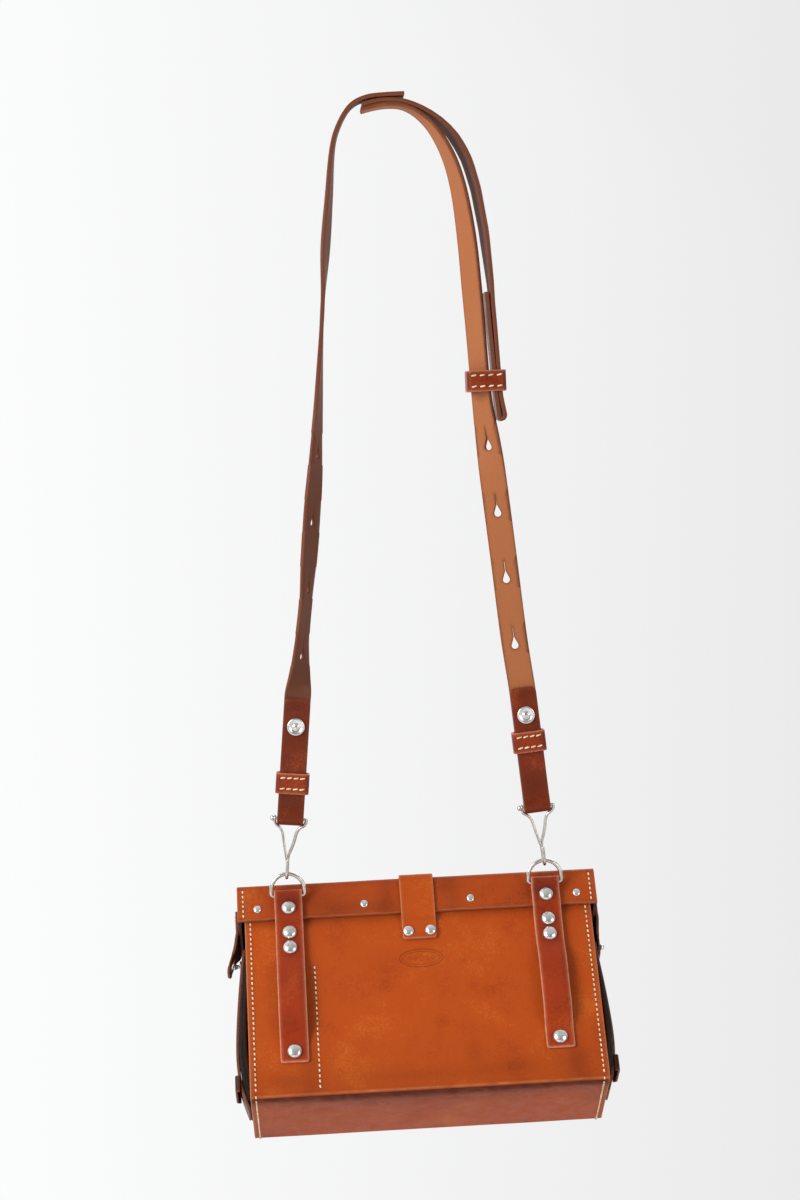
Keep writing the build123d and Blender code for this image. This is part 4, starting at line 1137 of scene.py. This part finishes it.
# --- strap studs
SCREW = [(4.0, -7.3), (4.0, -6.3), (2.2, -6.2), (2.2, 0.0), (6.2, 0.0), (6.5, 0.35), (6.4, 0.9),
         (5.9, 1.45), (5.3, 1.55), (4.6, 1.3), (3.7, 0.8), (2.9, 0.6), (2.3, 0.65), (2.1, 1.0),
         (1.9, 1.45), (1.3, 1.6), (0.2, 1.65)]
for side in SIDES:
    base, across, up = leg_frame(side)
    seat = base + up * STUD_RISE + np.array((0.0, -(LAYER + STRAP_THICK / 2), 0.0))
    turned(f"strap_stud_{side}_turned", [(seat, np.array((0.0, -1.0, 0.0)))], SCREW, "strap",
           f"strap_stud_{side}")

# --- ears
EAR_X, EAR_TIP_WIDTH, EAR_LENGTH, EAR_THICK, EAR_SLOT_RISE = 131.7, 22.0, 42.0, 2.2, 8.0
EAR_SEWN, EAR_TOP = 17.0, 10.0      # length sewn to the skirt, and its start below the lid's top
SLOT_FROM, SLOT_SPAN = EAR_LENGTH - 13.8, 11.6

for side, sign in SIDES.items():
    flare = math.radians(19.0 if side == "left" else 0.0)
    curl = 5.0 if side == "left" else 0.0

    def ear_place(u, s, sign=sign, flare=flare, curl=curl):
        below = np.maximum(s - EAR_SEWN, 0.0)
        angle = flare * np.clip(below / 7.0, 0, 1)
        straight = flare * 3.5 + np.tan(flare) * (below - 7)
        out = EAR_X + np.where(below < 7, flare * below**2 / 14, straight)
        out = out + curl * 0.12 * np.sin(np.clip(below / 25, 0, 1) * math.pi)
        out = np.where(s < EAR_SEWN, EAR_X - 0.5, out - 0.5 + 0.5 * np.clip(below / 3, 0, 1))
        drop = EAR_TOP + np.minimum(s, EAR_SEWN) + below * np.cos(angle)
        normal = bag_dir(sign * np.cos(angle), 0, np.sin(angle))
        return bag(sign * out, DEPTH / 2 + u, -drop), normal

    def ear_flank(u, s):
        """From a wide root sewn to the skirt down to a narrow tongue."""
        share = min(max((s - EAR_SEWN) / 11.0, 0.0), 1.0)
        share = share * share * (3 - 2 * share)
        return u * (2.0 - share), s

    half_ear = EAR_TIP_WIDTH / 2
    us = spaced(-half_ear, half_ear, 1.2)
    tip = rounded((-half_ear, half_ear), (0.0, EAR_LENGTH), 8.0, ("lt", "rt"))
    net = Net()
    net.grid(us, spaced(0, SLOT_FROM, 1.1, (True, False)), ear_flank)
    rows = [SLOT_FROM + SLOT_SPAN * i / 12 for i in range(13)]
    net.hole(us, rows, (0.0, EAR_LENGTH - EAR_SLOT_RISE), long_slot(3.6, 5.0), tip)
    net.grid(us, spaced(rows[-1], EAR_LENGTH, 0.8, (False, True)), tip)
    ear = sheet(f"ear_{side}_leather", net, ear_place, EAR_THICK, EAR, seed=31)
    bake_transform(ear)
    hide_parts(f"ear_{side}")

# --- end straps and their loops
END_WIDTH, END_THICK, END_TOP_Z = 20.0, 2.2, -34.0
LOOP_Z, LOOP_WIDTH, LOOP_THICK = -138.0, 12.0, 1.6
for side, sign in SIDES.items():
    zs = np.linspace(END_TOP_Z, GUSSET_LOW, 60)
    xs = gusset_face(zs) + 0.1 + END_THICK / 2
    slopes = np.gradient(xs, zs)
    normals = unit(bag_dir(sign * np.ones_like(xs), 0, -slopes))
    route = Route(bag(sign * xs, DEPTH / 2, zs), normals, np.tile(Y_DIR, (len(xs), 1)))
    net = strip(END_WIDTH / 2, route.length, 1.5, 1.6, 3.0, ("lb", "rb"))
    strap = sheet(f"end_strap_{side}_leather", net, route.place, END_THICK, EAR, sway=0.1)
    finish_piece(strap, "case", "dark_leather", f"end_strap_{side}")
    foot = float(gusset_face(LOOP_Z + 6)) + 0.1
    under = foot + END_THICK + 0.6
    half_loop = END_WIDTH / 2 + 1.4
    low, high = foot + 0.9, under + 0.8
    corners = [(low, -half_loop), (high, -half_loop), (high, half_loop), (low, half_loop)]
    places, normals = filleted(corners, 1.4)
    route = Route(bag(sign * places[:, 0], DEPTH / 2 + places[:, 1], LOOP_Z),
                  bag_dir(-sign * normals[:, 0], -normals[:, 1], 0), np.tile(Z_DIR, (len(places), 1)))
    net = strip(LOOP_WIDTH / 2, route.length, 1.2, 1.0)
    loop = sheet(f"end_keeper_{side}_leather", net, route.place, LOOP_THICK, EAR, bevel=0.45)
    finish_piece(loop, "case", "dark_leather", f"end_keeper_{side}")

# --- stitching
PITCH, END_PITCH, INSET = 3.8, 3.6, 4.0         # INSET: from the sewn edge to the thread
FLANGE_FACE = FLANGE_Y - (LID_THICK - 0.1) / 2


def straight_row(points, along, normal):
    return points, [along] * len(points), [normal] * len(points)


case_rows, lid_rows = [], []
for u in (INSET - WIDTH / 2, WIDTH / 2 - INSET):
    ss = even_row(26.0, panel_route.length - 27.0, PITCH)
    points, normals = panel_route.place(np.full_like(ss, u), ss)
    ahead, _ = panel_route.place(np.full_like(ss, u), ss + 0.5)
    case_rows.append((points + normals * half, ahead - points, normals))
for surface, out in ((0.0, -1), (DEPTH, 1)):
    zs = even_row(-66.0, -155.0, PITCH)
    case_rows.append(straight_row(bag(-76.3, surface, zs), -Z_DIR, Y_DIR * out))
for x in (-125.7, 125.7):
    zs = even_row(-5.5, -24.5, END_PITCH)
    case_rows.append(straight_row(bag(x, FLANGE_FACE, zs), -Z_DIR, out_back))
for x in (INSET - LID_WIDTH / 2, LID_WIDTH / 2 - INSET):
    ys = even_row(9.0, DEPTH - 6.0, PITCH)
    lid_rows.append(straight_row(bag(x, ys, 0.0), Y_DIR, Z_DIR))
    zs = even_row(-7.0, -24.0, END_PITCH)
    lid_rows.append(straight_row(bag(x, SKIRT_Y + LID_THICK / 2, zs), -Z_DIR, Y_DIR))
for sign in SIDES.values():
    us = even_row(-18.0, 18.0, PITCH)
    lid_rows.append(straight_row(bag(sign * (EAR_X + 0.6), DEPTH / 2 + us, -13.0), Y_DIR, sign * X_DIR))
stitches("case_stitching", case_rows, "case", 2.6, 0.62, 0.16)
stitches("lid_stitching", lid_rows, "lid", 2.6, 0.6, 0.16)

# --- tooled oval on the back, with no lettering
RIDGE = ((0.0, 0.02), (0.3, 0.16), (0.7, 0.16), (1.0, 0.02))    # share across the ridge, height
BURNISHED = 0.62
STAMP_Z = -63.0


def tooled_ring(x, half_x, half_z, width, corners):
    """Inner and outer points of a closed outline: an oval with many corners, a lozenge with four."""
    out = []
    for k in range(corners):
        c, s = math.cos(2 * math.pi * k / corners), math.sin(2 * math.pi * k / corners)
        out.append(((x + c * half_x, STAMP_Z + s * half_z),
                    (x + c * (half_x + width), STAMP_Z + s * (half_z + width))))
    return out


marks = [tooled_ring(0.0, 15.2, 6.5, 0.8, 72), tooled_ring(0.0, 13.2, 4.9, 0.4, 72)]
marks += [tooled_ring(x, 1.1, 1.5 if x else 2.3, 0.5, 4) for x in (-8.4, -4.2, 0.0, 4.2, 8.4)]
vertices, faces = [], []
for mark in marks:
    base, count = len(vertices), len(mark)
    for inner, outer in mark:
        for share, lift in RIDGE:
            x = inner[0] + (outer[0] - inner[0]) * share
            z = inner[1] + (outer[1] - inner[1]) * share
            vertices.append(bag(x, -lift, z))
    for k in range(count):
        here, ahead = base + k * 4, base + (k + 1) % count * 4
        faces += [(here + q, ahead + q, ahead + q + 1, here + q + 1) for q in range(3)]
zero, dark = np.zeros(len(vertices)), np.full(len(vertices), BURNISHED)
tooled = make_object("tooled_oval", vertices, faces, [CASE], {"edge": zero, "flesh": zero, "stain_and_shade": dark})
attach(tooled, "case")

# --- carried-over metal nodes
for node in ("d_ring_left", "d_ring_right"):
    obj = frame["nodes"][node]
    for slot in obj.material_slots:
        slot.material = WIRE

# --- floor and backdrop in one sweep
FLOOR_Z, BACK_Y, BACK_TOP, SWEEP, SPAN = -3200.0, 3300.0, 4500.0, 900.0, 30000.0


def backdrop_material():
    material, n, shader = new_material("backdrop_painted_light")
    place = n.new("ShaderNodeTexCoord").outputs["Object"]
    along = n.new("ShaderNodeSeparateXYZ")
    n.link(place, along.inputs[0])
    # the backdrop glows in its own emission, bright at the left and dimmer to the right: painted window light
    painted_window_light = n.mix(n.span(along.outputs["X"], -1.5, 1.5), (0.95, 0.955, 0.965), (0.70, 0.70, 0.70))
    set_inputs(shader, {"Base Color": (0.1, 0.1, 0.1, 1.0), "Roughness": 0.9, "Specular IOR Level": 0.0,
                        "Emission Strength": 1.0})
    n.link(painted_window_light, shader.inputs["Emission Color"])
    return material


profile = [(-SPAN, FLOOR_Z), (BACK_Y - SWEEP, FLOOR_Z)]
profile += [(BACK_Y - SWEEP + SWEEP * sind(a), FLOOR_Z + SWEEP * (1 - cosd(a))) for a in range(6, 90, 6)]
profile += [(BACK_Y, FLOOR_Z + SWEEP), (BACK_Y, BACK_TOP)]
corners = [(x, y, z) for y, z in profile for x in (-SPAN, SPAN)]
quads = [(2 * i, 2 * i + 1, 2 * i + 3, 2 * i + 2) for i in range(len(profile) - 1)]
backdrop = make_object("floor_and_backdrop", corners, quads, [backdrop_material()])

# --- light: a big window at the left, a dim room in front
PALE_ROOM = 0.86        # what the camera sees past the backdrop
world = bpy.data.worlds.new("studio")
bpy.context.scene.world = world
world.use_nodes = True
n = Nodes(world.node_tree)
direction = n.new("ShaderNodeSeparateXYZ")
n.link(n.new("ShaderNodeTexCoord").outputs["Generated"], direction.inputs[0])
depth = n.span(direction.outputs["Y"], -0.95, 0.4, 0.30, 0.85)
sideways = n.span(direction.outputs["X"], -1.0, 1.0, 1.25, 0.70)
height = n.span(direction.outputs["Z"], -0.7, 0.8, 0.60, 1.15)
sky = n.times(n.times(depth, sideways), height)
pale = n.new("ShaderNodeLightPath").outputs["Is Camera Ray"]
sky = n.add(n.times(sky, n.math("SUBTRACT", 1.0, pale)), n.times(pale, PALE_ROOM))
n.link(sky, world.node_tree.nodes["Background"].inputs["Color"])
world.node_tree.nodes["Background"].inputs["Strength"].default_value = 1.0


def softbox(name, place, target, size, power, colour=(1.0, 1.0, 1.0)):
    light = bpy.data.lights.new(name, "AREA")
    light.shape = "RECTANGLE"
    light.size, light.size_y = size
    light.energy = power
    light.color = colour
    obj = bpy.data.objects.new(name, light)
    obj.location = Vector(place)
    obj.rotation_euler = (Vector(target) - Vector(place)).to_track_quat("-Z", "Y").to_euler()
    bpy.context.scene.collection.objects.link(obj)


middle = (CAD_BOX[0] + CAD_BOX[1]) / 2
softbox("window", (-1.9, -1.6, 0.7), middle, (1.2, 1.6), 60.0, (1.0, 0.95, 0.87))
softbox("fill", (1.9, -2.0, 0.1), middle, (1.0, 1.4), 16.0, (1.0, 0.96, 0.90))
softbox("behind", (1.2, 2.6, 1.2), middle, (1.6, 1.4), 26.0)

# --- camera
camera_data = bpy.data.cameras.new("camera")
camera_data.lens, camera_data.sensor_width = 72.0, 36.0
camera = bpy.data.objects.new("camera", camera_data)
right = Vector((0.9979, -0.0463, -0.0449))
ahead = Vector((0.0429, 0.9963, -0.0739))
up = right.cross(ahead).normalized()
right = ahead.cross(up).normalized()
BAG_TO_CAMERA = (-76.4, -1725.3, 331.3)
turn = Matrix((right, up, -ahead)).transposed().to_4x4()
turn.translation = Vector(metres(ORIGIN + np.array(BAG_TO_CAMERA)))
camera.matrix_world = turn
bpy.context.scene.collection.objects.link(camera)
bpy.context.scene.camera = camera
bpy.context.scene.view_settings.view_transform = "Standard"
